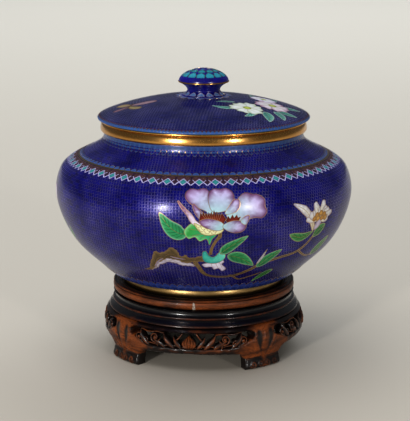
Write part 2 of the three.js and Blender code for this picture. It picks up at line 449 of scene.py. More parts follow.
standRim = {
    "profile": [(56, 50.85), (73.8, 50.85), (75.4, 51.2), (76.7, 52.2), (77.4, 53.7), (77.55, 55.2),
                (77.4, 56.6), (76.9, 57.3), (76.6, 57.6), (77, 58), (77.3, 58.5), (77, 59.1), (76.2, 59.45),
                (75.3, 59.35), (74.9, 59.05), (74.4, 59.4), (73.7, 59.85), (72.8, 59.9), (72.1, 59.55),
                (71.7, 59.1), (71.2, 59.35), (70.5, 59.35), (69.8, 58.95), (69.5, 58.42), (68.6, 58.4),
                (56, 58.4)],
    "wear": [0, 0.1, 0.26, 0.42, 0.54, 0.62, 0.58, 0.3, 0.05, 0.25, 0.4, 0.35, 0.2, 0.1, 0, 0.1, 0.22, 0.2,
             0.1, 0, 0.12, 0.12, 0.05, 0, 0, 0],
}
standTable = {
    "profile": [(0, 36.95), (79.6, 36.95), (80.6, 37.15), (81.1, 37.7), (80.95, 38.5), (80, 39.3),
                (78.8, 40.2), (77.9, 41), (77.2, 41.7), (76.9, 42.2), (77.2, 42.7), (77.8, 43.2),
                (78.1, 43.9), (77.9, 44.5), (77.2, 44.9), (76.2, 45.3), (75.4, 46.3), (75.1, 47.6),
                (75.4, 48.9), (76.2, 49.9), (77.3, 50.35), (76.9, 50.45), (0, 50.45)],
    "wear": [0, 0, 0.3, 0.45, 0.3, 0.08, 0, 0, 0, 0, 0.1, 0.4, 0.6, 0.4, 0.05, 0, 0, 0, 0, 0.05, 0.3, 0.1, 0],
}


def turnedWood(name, settings, material, slot, node):
    # a turned piece, each point worn as the nearest corner of its profile says
    profile = np.array(settings["profile"], float)
    thing = turned(name, profile, material, sharp=50, closed=profile[0, 0] > 0)
    where = np.empty(len(thing.data.vertices) * 3)
    thing.data.vertices.foreach_get("co", where)
    where = where.reshape(-1, 3) / mm
    r = np.hypot(where[:, 0], where[:, 1])
    nearest = np.argmin((r[:, None] - profile[:, 0])**2 + (where[:, 2, None] - profile[:, 1])**2, axis=1)
    pointNumbers(thing.data, "wear", np.array(settings["wear"])[nearest])
    finished(thing, slot, node)


turnedWood("standRimRing", standRim, wornWood, "worn_hardwood", "stand_rim")
turnedWood("standTableDisc", standTable, darkWood, "dark_hardwood", "stand_table")
print("turned wood made")

# The apron and its legs, drawn flat (along, height) and bent round, with what stands proud as a third number

apron = {
    "unrolled": 85, "quarters": 4, "top": 36.6, "wall": 9, "legExtra": 4, "legWidth": 29, "footWidth": 37,
    "padTop": 8.6, "padProud": 0.5, "archHeight": 15.4, "lowerRail": 5.6, "upperRail": 3.7,
    "cell": 0.85, "edgeRound": 1.5,
    "opening": [(0, 21), (22, 21), (36, 21.1), (43, 22.2), (50, 25), (55, 27.4), (56.4, 29.6), (55.6, 32),
                (52.6, 32.9), (40, 32.9), (0, 32.9)],
    "outline": [(83.6, 0), (83.8, 3), (82.8, 7), (83.2, 12), (84.8, 19), (85.4, 26), (84.2, 32),
                (81.2, 36.6)],
}
apronSpan = 2 * math.pi * apron["unrolled"] / apron["quarters"]
apronEdge = apronSpan / 2
apronField = apronEdge - apron["legWidth"] / 2
archHalf = apronEdge - apron["footWidth"] / 2
railTop = apron["archHeight"] + apron["lowerRail"]
fieldTop = apron["top"] - apron["upperRail"]
apronLine = smoothLine(apron["outline"], 80)


def bent(flat, quarter):
    # flat rows of (along, height, proud) put round the stand
    angle = flat[:, 0] / apron["unrolled"] + quarter * 2 * math.pi / apron["quarters"]
    r = np.interp(flat[:, 1], apronLine[:, 1], apronLine[:, 0]) + flat[:, 2]
    return np.stack([r * np.sin(angle), -r * np.cos(angle), flat[:, 1]], axis=1)


def resampled(outline, step):
    # a closed outline with corners kept and points added about a step apart
    outline = np.array(outline, float)
    loop = np.vstack([outline, outline[:1]])
    points = []
    for a, b in zip(loop[:-1], loop[1:]):
        count = max(1, int(round(np.linalg.norm(b - a) / step)))
        points += [a + (b - a) * i / count for i in range(count)]
    return np.array(points)


def leafLine(base, tip, bend=0.0, count=14):
    t = np.linspace(0, 1, count)
    x = base[0] + (tip[0] - base[0]) * t + bend * np.sin(math.pi * t)
    return np.stack([x, base[1] + (tip[1] - base[1]) * t], axis=1)


def scrollLine(centre, radius, start, sweep, count=30):
    t = np.linspace(0, 1, count)
    angle, reach = np.radians(start + sweep * t), radius * (1 - 0.78 * t)
    return np.stack([centre[0] + reach * np.cos(angle), centre[1] + reach * np.sin(angle)], axis=1)


def leafWidth(width, count):
    return width * np.sin(math.pi * np.linspace(0.015, 0.985, count) ** 0.75)


def ridge(points, line, width, height):
    # how far a rounded ridge along a line stands up at each point
    gaps = np.linalg.norm(points[:, None] - line[None], axis=2)
    nearest = gaps.argmin(axis=1)
    half = np.broadcast_to(width, (len(line),))[nearest] / 2
    reach = np.clip(gaps[np.arange(len(points)), nearest] / np.maximum(half, 1e-6), 0, 1)
    return height * np.sqrt(1 - reach**2)


legCarving = {       # across from the middle of the leg, and height
    "leaves": [((0, 9.5), (0, 33.5), 0, 6.4, 0.85), ((3.2, 11), (10.5, 29), -2, 4.6, 0.8),
               ((4, 9.8), (14.5, 16), 0, 4, 0.7)],
    "volutes": [((11.2, 3.9), 3.1, 200, 430, 1.3, 0.7), ((3.4, 3.9), 3, -20, -430, 1.2, 0.6)],
    "recess": {"across": 6, "half": 3.2, "low": 12, "high": 34, "depth": 0.5},
    "groove": {"height": 9, "half": 0.9, "depth": 0.5},
    "rolls": {"below": 2.6, "half": 2.2, "proud": 0.35},
    "bead": {"above": 1.1, "width": 1.6, "proud": 0.45},
}


def fade(distance, over=1.0):
    # 0 where the distance is negative, rising to 1
    return np.clip(distance / over, 0, 1)


def apronRelief(points):
    # carving proud of the apron's face, and how far it is rubbed bare
    x, y = np.abs(points[:, 0]), points[:, 1]
    toLeg = apronEdge - x                       # distance from the middle of the leg
    folded = np.stack([x, y], axis=1)
    fromLeg = lambda place: (apronEdge - place[0], place[1])
    spray = np.max([
        ridge(folded, leafLine(fromLeg(base), fromLeg(tip), bend), leafWidth(1, 14) * width, proud)
        for base, tip, bend, width, proud in legCarving["leaves"]], axis=0)
    volute = np.max([
        ridge(folded, scrollLine(fromLeg(centre), radius, start, sweep), width, proud)
        for centre, radius, start, sweep, width, proud in legCarving["volutes"]], axis=0)
    legReach = 9.5 + 19 * fade(29 - y, 8) + 7 * fade(y - 31, 3)       # the leg spreads into the rails
    onLeg = fade(legReach + 2.5 - toLeg, 5)
    hollow, cut = legCarving["recess"], legCarving["groove"]
    rolls, beading = legCarving["rolls"], legCarving["bead"]
    recess = fade(hollow["half"] - np.abs(toLeg - hollow["across"]), hollow["half"])
    recess = recess * fade(y - hollow["low"], 4) * fade(hollow["high"] - y, 3)
    low = fade(apron["padTop"] - y, 0.9) * fade(apron["footWidth"] / 2 + 1.5 - toLeg)
    groove = fade(cut["half"] - np.abs(y - cut["height"]), cut["half"]) * onLeg
    rail = fade(rolls["half"] - np.abs(y - (railTop - rolls["below"])), rolls["half"]) * (1 - onLeg)
    rolling = rolls["proud"] * rail * (1 + np.sin(x * 0.62 + 1.2 * np.sin(x * 0.21)))
    beadLine = np.stack([np.linspace(0, apronField, 90), np.full(90, fieldTop + beading["above"])], axis=1)
    bead = ridge(folded, beadLine, beading["width"], beading["proud"])
    proud = spray - hollow["depth"] * recess * (spray < 0.05) + low * (apron["padProud"] + volute)
    proud = proud - cut["depth"] * groove + rolling + bead
    swelling = fade(1 - np.hypot((toLeg - 14) / 12, (y - 18) / 9)) + fade(1 - toLeg / 4)
    wear = onLeg * (0.5 + 0.35 * swelling - 0.6 * recess * (spray < 0.3) - 0.5 * groove) + (1 - onLeg) * 0.2
    wear = wear + 0.15 * spray + 0.3 * rolling - low * (0.36 - 0.6 * volute)
    return proud, np.clip(wear, 0, 1)


def apronWallFlat():
    # the flat outline of one quarter's wall with its opening, cut into triangles
    top = apron["top"]
    halfArch = [(0, 16), (16, apron["archHeight"]), (archHalf - 9, 14.4), (archHalf - 4.5, 13.3),
                (archHalf - 1.8, 11.4), (archHalf - 0.4, 9.2), (archHalf, 7), (archHalf, 3.4)]
    arch = np.vstack([smoothLine(halfArch, 60), [(archHalf, 0)]])
    left = (arch * [-1, 1])[::-1]
    step = apron["cell"]
    outer = np.vstack([[(-apronEdge, 0)], left[:-1], arch,
                       [(apronEdge, 0), (apronEdge, top), (-apronEdge, top)]])
    outer = resampled(outer, step)
    halfHole = smoothLine(apron["opening"], 120)
    hole = resampled(np.vstack([halfHole, (halfHole * [-1, 1])[::-1][1:-1]]), step)
    columns = np.arange(-apronEdge + step, apronEdge - step / 2, step)
    rows = np.arange(step, top - step / 2, step)
    gridX, gridY = np.meshgrid(columns, rows)
    inner = np.stack([gridX.ravel(), gridY.ravel()], axis=1)
    rim = np.vstack([outer, hole])
    gap = np.min(np.linalg.norm(inner[:, None] - rim[None], axis=2), axis=1)
    inner = inner[gap > step * 0.6]
    points = np.vstack([outer, hole, inner])
    n, m = len(outer), len(hole)
    loops = [list(range(n)), list(range(n, n + m))]
    result = delaunay_2d_cdt([Vector(p) for p in points], [], loops, 0, 1e-5, True)
    flat = np.array([tuple(p) for p in result[0]])
    faces = [f for f, owners in zip(result[2], result[5]) if 0 in owners and 1 not in owners]
    return flat, faces, outer, hole


def edgesOnce(faces):
    # the edges round the rim of a sheet of faces, which only one face has
    seen = {}
    for f in faces:
        for a, b in zip(f, [*f[1:], f[0]]):
            seen[(a, b)] = seen.get((a, b), 0) + 1
    return [(a, b) for a, b in seen if (b, a) not in seen]


def apronShell():
    flat, faces, outer, hole = apronWallFlat()
    atJoint = np.abs(np.abs(flat[:, 0]) - apronEdge) < 1e-3
    rim = np.vstack([outer[np.abs(outer[:, 0]) < apronEdge - 1e-3], hole])
    gap = np.min(np.linalg.norm(flat[:, None] - rim[None], axis=2), axis=1)
    proud, wear = apronRelief(flat)
    radius = apron["edgeRound"]
    near = np.clip(gap / radius, 0, 1)
    front = proud - radius * (1 - np.sqrt(1 - (1 - near)**2))
    legs = np.clip((apron["legWidth"] / 2 - 2 - (apronEdge - np.abs(flat[:, 0]))) / 2, 0, 1)
    back = -apron["wall"] - apron["legExtra"] * legs
    count = len(flat)
    allFlat = np.vstack([np.column_stack([flat, front]), np.column_stack([flat, back])])
    shell = [list(f) for f in faces] + [[v + count for v in reversed(f)] for f in faces]
    for a, b in edgesOnce(faces):
        if not (atJoint[a] and atJoint[b]):
            shell.append([b, a, a + count, b + count])
    wears = np.concatenate([wear - 0.25 * (1 - near) * (wear < 0.5), 0.1 + 0.5 * wear * (flat[:, 1] > 9)])
    return allFlat, shell, wears


def ridgedShell(line, width, base, crown, back, ribs=0.0, rubbed=0.5):
    # a strip with a rounded, ribbed face, closed all round, as flat rows of (along, height, proud)
    side = sideways(line)
    across = np.array([-1, -1, -0.72, -0.35, 0, 0.35, 0.72, 1, 1])
    lift = np.array([0, 1, 1, 1, 1, 1, 1, 1, 0.0])
    face = np.sqrt(1 - np.abs(across)**2.2 * 0.96) - ribs * np.array([0, 0, 0, 1, 0, 1, 0, 0, 0])
    half = np.broadcast_to(np.asarray(width, float) / 2, (len(line),))
    taper = np.clip(half / max(half.max(), 1e-6) * 1.6, 0.15, 1)
    rings = []
    for i in range(len(line)):
        flat = line[i] + side[i] * (across * half[i])[:, None]
        proud = np.where(lift > 0, base + crown * face * taper[i], back)
        rings.append(np.column_stack([flat, proud]))
    n, count = len(across), len(line)
    faces = []
    for i in range(count - 1):
        for k in range(n):
            a, b = i * n + k, i * n + (k + 1) % n
            faces.append([a, a + n, b + n, b])
    faces.append(list(range(n)))
    faces.append([(count - 1) * n + k for k in range(n - 1, -1, -1)])
    wear = np.tile(rubbed * face**3 * lift, count)
    return np.vstack(rings), faces, wear


panelCarving = {
    "leaves": [((6, railTop - 1), (13.4, railTop + 9.6), 4.2, 1, 1.9),
               ((12, railTop - 1), (22.2, railTop + 11.2), 4.6, 1.6, 1.9),
               ((20, railTop - 1.4), (33, railTop + 6.2), 4.2, -1.4, 1.5),
               ((35, railTop - 1), (44.6, railTop + 11.4), 4.4, 2.4, 1.7),
               ((27, railTop - 1), (24.5, railTop + 7), 3, 1.4, 1.2),
               ((41, railTop - 0.6), (51, railTop + 4.6), 3, -0.6, 1.1)],
    "scrolls": [((30, railTop + 7), 4.6, -150, 480, 1.9), ((46, railTop + 5.2), 4.1, 220, -440, 1.8),
                ((38.6, railTop + 3.4), 2.8, 20, 400, 1.4), ((17.2, railTop + 3), 2.4, 250, -380, 1.3)],
    "stems": [[(4, railTop), (14, railTop + 1.6), (26, railTop + 0.8), (37, railTop + 1.8),
               (51.5, railTop + 0.8)],
              [(22, railTop + 11), (29, railTop + 11.6), (37, fieldTop - 1.2), (45, fieldTop + 0.2)],
              [(5.6, fieldTop + 0.4), (9, railTop + 8), (12.6, railTop + 4.4)]],
    "bud": [(0, 0, 3.4, 0, 2.4), (0.8, 0.7, 3, 1.8, 2.1), (1.4, 1.6, 2.6, 3.3, 1.7)],
    "domes": [(30, railTop + 7, 1.5), (46, railTop + 5.2, 1.4), (38.6, railTop + 3.4, 0.9)],
}


def carvedPanel():
    # the leaves, scrolls and stems carved in one quarter's opening
    parts = []
    for sign in (1, -1):
        mirror = np.array([sign, 1])
        for base, tip, width, bend, crown in panelCarving["leaves"]:
            line = leafLine(base, tip, bend) * mirror
            parts.append(ridgedShell(line, leafWidth(width, 14), -1.6, crown, -6, 0.16))
        for centre, radius, start, sweep, width in panelCarving["scrolls"]:
            line = scrollLine(centre, radius, start, sweep) * mirror
            parts.append(ridgedShell(line, np.linspace(width, width * 0.6, 30), -1.8, 1.3, -6))
        for points in panelCarving["stems"]:
            line = smoothLine(points, 24) * mirror
            parts.append(ridgedShell(line, 1.5, -2.6, 1.2, -6))
        for foot, tip, width, bend, crown in panelCarving["bud"]:
            line = leafLine((foot, railTop - 1), (tip, fieldTop - 0.8 - 1.4 * tip), bend, 16) * mirror
            if foot > 0 or sign > 0:        # the middle leaf stands alone
                parts.append(ridgedShell(line, leafWidth(width, 16), -1.3, crown, -6, 0.12, 1.0))
    return parts


def flatCurls():
    # little buds at the ends of the scrolls, as low domes
    parts, n = [], 12
    ring = np.linspace(0, 2 * math.pi, n + 1)[:-1]
    across, up = np.cos(ring), np.sin(ring)
    for x, y, size in panelCarving["domes"]:
        for sign in (1, -1):
            rows = [np.column_stack([sign * x + size * k * across, y + size * k * up, np.full(n, out)])
                    for k, out in ((1, -5), (1, -1.6), (0.7, -0.6), (0.25, -0.2))]
            faces = [[i * n + k, i * n + (k + 1) % n, (i + 1) * n + (k + 1) % n, (i + 1) * n + k]
                     for i in range(3) for k in range(n)]
            faces += [list(range(3 * n, 4 * n)), list(range(n - 1, -1, -1))]
            parts.append((np.vstack(rows), faces, np.repeat([0.05, 0.2, 0.5, 0.6], n)))
    return parts


def joinedPoints(vertices):
    # points in the same place made one: the first of each, and every point's number among them
    _, first, joined = np.unique(np.round(vertices, 3), axis=0, return_index=True, return_inverse=True)
    return first, joined.ravel()


def outwards(thing):
    # turns every closed shell's faces outwards
    work = bmesh.new()
    work.from_mesh(thing.data)
    bmesh.ops.recalc_face_normals(work, faces=work.faces)
    work.to_mesh(thing.data)
    work.free()


def bentObject(name, parts):
    vertices, faces, wear = [], [], []
    for flat, shell, worn in parts:
        start = sum(len(v) for v in vertices)
        vertices.append(bent(flat, 0))
        faces += [[v + start for v in f] for f in shell]
        wear.append(worn)
    thing = meshObject(name, np.vstack(vertices), faces, [wornWood], sharp=62)
    pointNumbers(thing.data, "wear", np.concatenate(wear))
    outwards(thing)
    return thing


carving = bentObject("apronCarving", carvedPanel() + flatCurls())
finished(repeatRound(carving, apron["quarters"], wornWood), "worn_hardwood", "stand_apron")


def apronAndLegs():
    flat, shell, wear = apronShell()
    vertices = np.vstack([bent(flat, q) for q in range(apron["quarters"])])
    faces = [[v + q * len(flat) for v in f] for q in range(apron["quarters"]) for f in shell]
    first, joined = joinedPoints(vertices)
    faces = [[joined[v] for v in f] for f in faces]
    thing = meshObject("apronWall", vertices[first], faces, [wornWood], sharp=55)
    pointNumbers(thing.data, "wear", np.tile(wear, apron["quarters"])[first])
    outwards(thing)
    finished(thing, "worn_hardwood", "stand_apron")


apronAndLegs()
print("carved apron made")

# Enamelled surfaces: the bowl's outside and the lid's top

bowl = {
    "outside": [(68.5, 66.2), (78, 68.2), (90.3, 78.8), (108.6, 96.7), (119.8, 116.5), (125, 137.5),
                (121.8, 154.5), (114.3, 163.4), (93, 174.6), (85, 181), (83.6, 187.7)],
    "inside": [(80.6, 187.7), (82, 181), (88, 175), (100, 168), (112, 160), (118.8, 153), (122, 138),
               (116.9, 117.5), (106, 98.6), (88, 81.2), (76.5, 70.8), (66.5, 69.2), (0, 69.2)],
    "fretAcross": 5.0, "fretRow": 2.5,
}
lid = {
    "outside": [(87.6, 197.9), (89.2, 199.1), (84.2, 202.6), (66, 208.6), (44, 213.6), (20, 216.5),
                (0, 216.5)],
    "inside": [(0, 213.5), (20, 213.5), (43.5, 210.6), (65, 205.7), (78, 201.2), (78.2, 197.9)],
    "fretAcross": 5.0, "fretRow": 2.5, "drawnTo": 17,
}
enamelMesh = {
    "columns": 336, "wide": 120.0,        # mm to a radian, so that triangles come out even
    "leastCells": 8, "plainColour": (0.1, 0.3, 0.4),
}
bowlSurface = Spun(bowl["outside"])
lidSurface = Spun(lid["outside"])


class Spot:
    # where a motif is drawn: an angle and a distance up the profile, and how far it is turned and mirrored
    def __init__(self, surface, degrees, s, turn=0.0, size=1.0, flip=1):
        self.surface, self.angle, self.s, self.size, self.flip = surface, math.radians(degrees), s, size, flip
        turn = math.radians(turn)
        self.spin = np.array([[math.cos(turn), -math.sin(turn)], [math.sin(turn), math.cos(turn)]])

    def out(self, local):
        moved = (np.asarray(local, float) * [self.flip, 1]) @ self.spin.T * self.size
        s = self.s + moved[:, 1]
        return np.stack([self.angle + moved[:, 0] / self.surface.radius(s), s], axis=1)

    def back(self, plane):
        x = (plane[:, 0] - self.angle) * self.surface.radius(plane[:, 1])
        moved = np.stack([x, plane[:, 1] - self.s], axis=1) / self.size
        return (moved @ self.spin) * [self.flip, 1]


def distanceTo(points, outline):
    # how far each point is from a closed outline
    step = np.roll(outline, -1, axis=0) - outline
    size = np.maximum(np.sum(step**2, axis=1), 1e-12)
    t = np.clip(np.sum((points[:, None] - outline) * step, axis=2) / size, 0, 1)
    nearest = outline + t[..., None] * step
    return np.min(np.linalg.norm(points[:, None] - nearest, axis=2), axis=1)


def inside(points, outline):
    # whether each point lies within an outline, by how often the outline winds round it
    x, y = points[:, :1], points[:, 1:]
    x0, y0 = outline[:, 0], outline[:, 1]
    x1, y1 = np.roll(x0, -1), np.roll(y0, -1)
    turn = (x1 - x0) * (y - y0) - (x - x0) * (y1 - y0)
    up = (y0 <= y) & (y1 > y) & (turn > 0)
    down = (y0 > y) & (y1 <= y) & (turn < 0)
    return (up.sum(axis=1) - down.sum(axis=1)) != 0


class Drawing:
    # cells of enamel and their wires, later ones over earlier ones
    def __init__(self, surface):
        self.surface, self.shapes = surface, []

    def fill(self, spot, outline, shade):
        plane = counterClockwise(spot.out(outline))
        self.shapes.append((plane, spot, shade))

    def wire(self, spot, line, width):
        self.fill(spot, ribbon(np.asarray(line, float), width), None)

    def curve(self, spot, points, count, width):
        self.wire(spot, smoothLine(points, count), width)

    def cell(self, spot, outline, shade, wire=0.4, rings=()):
        outline = counterClockwise(np.asarray(outline, float))
        inward = sideways(outline, closed=True)
        self.fill(spot, outline - inward * wire / 2, None)
        for inset in (0, *rings):
            self.fill(spot, outline + inward * (wire / 2 + inset), lambda p, edge=outline: shade(p, edge))


# Shades: the colour at points of a cell, given the cell's outline

def even(colour, edgeColour=None, width=1.0):
    inner = linear(colour)
    rim = linear(edgeColour or colour)

    def shade(points, edge):
        near = distanceTo(points, edge) / width
        return mixed(rim, inner, near[:, None])
    return shade


def petal(base, tip, heart, middle, rim, width=2.6, depth=0.85):
    # the heart's colour turning into the middle's along the petal, and into the rim's at its far edge
    heart, middle, rim = linear(heart), linear(middle), linear(rim)
    base, tip = np.array(base, float), np.array(tip, float)
    axis = (tip - base) / np.sum((tip - base)**2)

    def shade(points, edge):
        along = np.clip((points - base) @ axis, 0, 1)[:, None]
        spread = points - (base + tip) / 2
        angle = np.arctan2(spread[:, 1], spread[:, 0])
        uneven = 1 + 0.25 * np.sin(5 * angle + 1) + 0.2 * np.sin(11 * angle)      # the tinge runs in unevenly
        near = np.clip(distanceTo(points, edge) / (width * uneven), 0, 1)[:, None]
        body = mixed(heart, middle, along * 1.15)
        tinge = (1 - near)**depth * np.clip(along * 1.8 - 0.1, 0, 1)
        return mixed(body, rim, tinge)
    return shade


def leafShade(line, dark, light, edgeColour):
    dark, light, rim = linear(dark), linear(light), linear(edgeColour)
    base, tip = line[0], line[-1]
    axis = (tip - base) / np.sum((tip - base)**2)
    normal = np.array([-axis[1], axis[0]]) / max(np.linalg.norm(axis), 1e-9)

    def shade(points, edge):
        along = np.clip((points - base) @ axis, 0, 1)[:, None]
        side = ((points - base) @ normal)[:, None]
        near = np.clip(distanceTo(points, edge) / 1.6, 0, 1)[:, None]
        body = mixed(dark, light, 0.25 + 0.35 * along + 0.12 * np.clip(side, -2, 2))
        return mixed(mixed(body, rim, 0.75), body, near)
    return shade


def drawLeaf(drawing, spot, points, width, dark="#0c5f3c", light="#3ba567", edgeColour="#8ccdb0", veins=4,
             shape=0.8):
    # a leaf along a line, with its midrib and side veins in wire
    line = smoothLine(points, 18)
    t = np.linspace(0.012, 0.985, len(line))
    widths = width * np.sin(math.pi * t ** shape)
    outline = ribbon(line, widths)
    rings = (1.1,) if width > 6 else ()
    drawing.cell(spot, outline, leafShade(line, dark, light, edgeColour), rings=rings)
    drawing.wire(spot, line[:-2], 0.34)
    side = sideways(line)
    groove = even(dark)
    for k in range(veins):
        start = int(len(line) * (0.18 + 0.62 * k / max(veins, 1)))
        ahead = min(start + 3, len(line) - 2)
        for sign in (1, -1):
            tipPoint = line[ahead] + side[ahead] * sign * widths[ahead] * 0.40
            middle = (line[start] + tipPoint) / 2 + side[start] * sign * 0.15
            vein = smoothLine([line[start], middle, tipPoint], 5)
            drawing.fill(spot, ribbon(vein, 0.42), lambda p: groove(p, line))


def closed(points, count):
    return smoothLine(points, count, closed=True)


def oval(x, y, across, up, count):
    angle = np.linspace(0, 2 * math.pi, count + 1)[:-1]
    return np.stack([x + across * np.cos(angle), y + up * np.sin(angle)], axis=1)


def ragged(outline, amount):
    # bark: an outline pushed in and out unevenly
    k = np.arange(len(outline))
    push = amount * (np.sin(2.3 * k) + np.sin(0.9 * k + 1))
    return outline + sideways(outline, closed=True) * push[:, None]


def drawBlossom(drawing, spot, tones, plain=False):
    # an open peony seen from the side: back petals, the ring of stamens, the petals in front, sepals beneath
    heart, middle, rim, throat = tones["heart"], tones["middle"], tones["rim"], tones["throat"]

    def addPetal(points, base, tip, width=4.6, rings=(0.8, 1.8, 3, 4.4), count=44):
        drawing.cell(spot, closed(points, count), petal(base, tip, heart, middle, rim, width), rings=rings)

    addPetal([(-4, 1), (-11, 4), (-20, 8), (-25, 13), (-24.5, 18), (-20, 21.5), (-15, 20.6), (-10.5, 22),
              (-6.5, 18.5), (-6, 9)], (-6, 2), (-18, 21))
    addPetal([(4, 3), (-4.5, 3), (-7.6, 11), (-7, 17.5), (-3, 21.4), (2, 20.8), (6, 21.8), (11, 18.5),
              (12.4, 12.5), (9, 6)], (0, 3), (3, 22))
    addPetal([(6, 0), (13, 7), (16, 13), (21, 17), (27, 15.6), (32, 14.8), (37, 11), (37.4, 5.5), (39, 1),
              (35, -3.6), (28, -3), (20, -5), (12, -4)], (11, -1), (35, 9), 5.4, (0.9, 2, 3.4, 5))
    addPetal([(5, 1), (9, 8), (12.4, 12), (16.4, 11.4), (16.8, 6.6), (13, 2)], (6, 1), (15, 12), 3,
             (0.8, 1.8), 30)
    addPetal([(-6, 0), (-11, 1.6), (-16, 6.4), (-19, 9), (-19.4, 5), (-16, -1.4), (-11, -4)], (-7, -1),
             (-18, 8), 3, (0.8, 1.8), 30)
    if not plain:
        line = smoothLine([(-31, 11), (-27.6, 6), (-22.6, 0.6), (-19, -5), (-14, -8.6)], 20)
        widths = np.concatenate([np.linspace(1, 4.4, 14), np.linspace(4.2, 3, 7)])
        drawing.cell(spot, ribbon(line, widths), petal((-14, -8), (-31, 11), "#e9e2f2", "#e3c6e2", rim, 1.6))
    # sepals with scale-shaped wires
    sepal = closed([(-19, -6), (-12, -8.5), (-2, -10.5), (4, -11.4), (1.6, -14.6), (-6, -16.4),
                    (-13, -14.6)], 34)
    drawing.cell(spot, sepal, even(tones["sepal"], "#bcbf86", 1.6))
    for x, y in ((-15.5, -8.6), (-11.4, -10.6), (-7, -11.8), (-2.6, -12.6), (-13, -12.2), (-8.6, -14),
                 (-3.8, -14.6)):
        drawing.wire(spot, [(x - 2.2, y + 1.7), (x - 1.2, y - 0.4), (x + 0.3, y - 1), (x + 1.7, y - 0.2),
                            (x + 2.3, y + 1.5)], 0.34)
    # stamens, a tuft with pointed tips
    points, threads = [(-15, -4.4)], [-13.6 + 2.05 * k for k in range(9)]
    for k, x in enumerate(threads):
        reach = 3.2 + 1.6 * math.sin(1.4 * k + 0.7)
        points += [(x, reach - 0.22 * abs(k - 4)), (x + 1, 0.2)]
    points += [(6, -3), (3.6, -7), (-7, -6.4)]
    drawing.cell(spot, points, even(throat, "#4a120e", 2.2), wire=0.3)
    for x in threads:
        drawing.wire(spot, [(x * 0.55 - 1.4, -4), (x, 2.2)], 0.26)
    tuft = [(5.6, -4.4), (7.6, -0.6), (9, -2.8), (11, 0.4), (12.2, -2.2), (14.4, 0.2), (15.2, -2.2),
            (17.6, -1.4), (16, -4.6), (9, -7.4)]
    drawing.cell(spot, tuft, even(throat, "#4a120e", 2), wire=0.3)
    # petals in front
    addPetal([(-14.6, -4.4), (-9, -2.4), (-3, -3.2), (2.6, -5.6), (4.6, -9.4), (1, -12.4), (-6, -11.4),
              (-12.4, -8.4)], (0, -11), (-10, -3), 4, (0.8, 1.8, 3))
    addPetal([(3.4, -8.4), (8, -5.4), (13.6, -4.4), (19.6, -5.6), (22, -9), (19.4, -13.6), (12.6, -14.8),
              (6, -12)], (4, -9), (20, -11), 4.2, (0.8, 1.8, 3))
    addPetal([(17.4, -5.4), (20.8, -1.4), (24.4, -1), (24, -4.4), (21.4, -8.4)], (18, -6), (24, -1), 1.8, ())


mainTones = {
    "heart": "#a6cad2", "middle": "#beaedc", "rim": "#66305c", "throat": "#7d2415", "sepal": "#e7e6b4"}
paleTones = {
    "heart": "#f0ecd8", "middle": "#dfdde8", "rim": "#b59ac0", "throat": "#c07a22", "sepal": "#dfe2b8"}


def drawWhiteBlossom(drawing, spot, petals=7, size=1.0, tone="#e8e8e6", rim="#b4aabc", heart="#d8a452"):
    # a small many-petalled flower seen from the side, with a yellow heart
    for k in range(petals):
        angle = math.radians(180 - 174 * k / (petals - 1))
        reach = size * (14.5 + 3.2 * math.sin(2.6 * k + 0.5))
        tip = np.array([math.cos(angle), math.sin(angle) * 0.92]) * reach
        base = tip * 0.16
        side = np.array([-tip[1], tip[0]]) / reach
        half = size * (2.9 + 0.5 * (k % 2))
        outline = closed([base - side * half * 0.4, (base + tip) / 2 - side * half,
                          tip * 0.96 - side * half * 0.7, tip, tip * 0.94 + side * half * 0.6,
                          (base + tip) / 2 + side * half, base + side * half * 0.4], 26)
        drawing.cell(spot, outline, petal(base, tip, "#eee4c4", tone, rim, 1.5 * size))
        drawing.wire(spot, [base * 1.6, tip * 0.72], 0.26)
    for k, (x, y) in enumerate([(-4.6, 3.6), (0, 5.2), (4.6, 4.2), (-2.4, 1), (2.6, 1.2), (7.2, 1.4),
                                (-6.6, 0.6)]):
        blob = oval(x * size, y * size, 2.5 * size, 2.3 * size, 14)
        drawing.cell(spot, blob, even(heart if k % 2 else "#c08c42", "#866030", 1.3 * size), wire=0.34)


def drawBranch(drawing, spot, points, widths, tone="#574830", edgeColour="#7e6844"):
    line = smoothLine(points, 9 * (len(points) - 1))
    t = np.linspace(0, len(widths) - 1, len(line))
    drawing.cell(spot, ribbon(line, np.interp(t, range(len(widths)), widths)), even(tone, edgeColour, 1.1),
                 wire=0.44)


def degreesLine(drawing, places):
    # a spot at the first of several (degrees, distance) places, and all of them in its own millimetres
    spot = Spot(drawing.surface, *places[0])
    plane = np.array([(math.radians(d), s) for d, s in places])
    return spot, spot.back(plane)


def drawAlong(draw, drawing, places, *settings, **looks):
    # a leaf or a branch through several places
    spot, line = degreesLine(drawing, places)
    draw(drawing, spot, line, *settings, **looks)


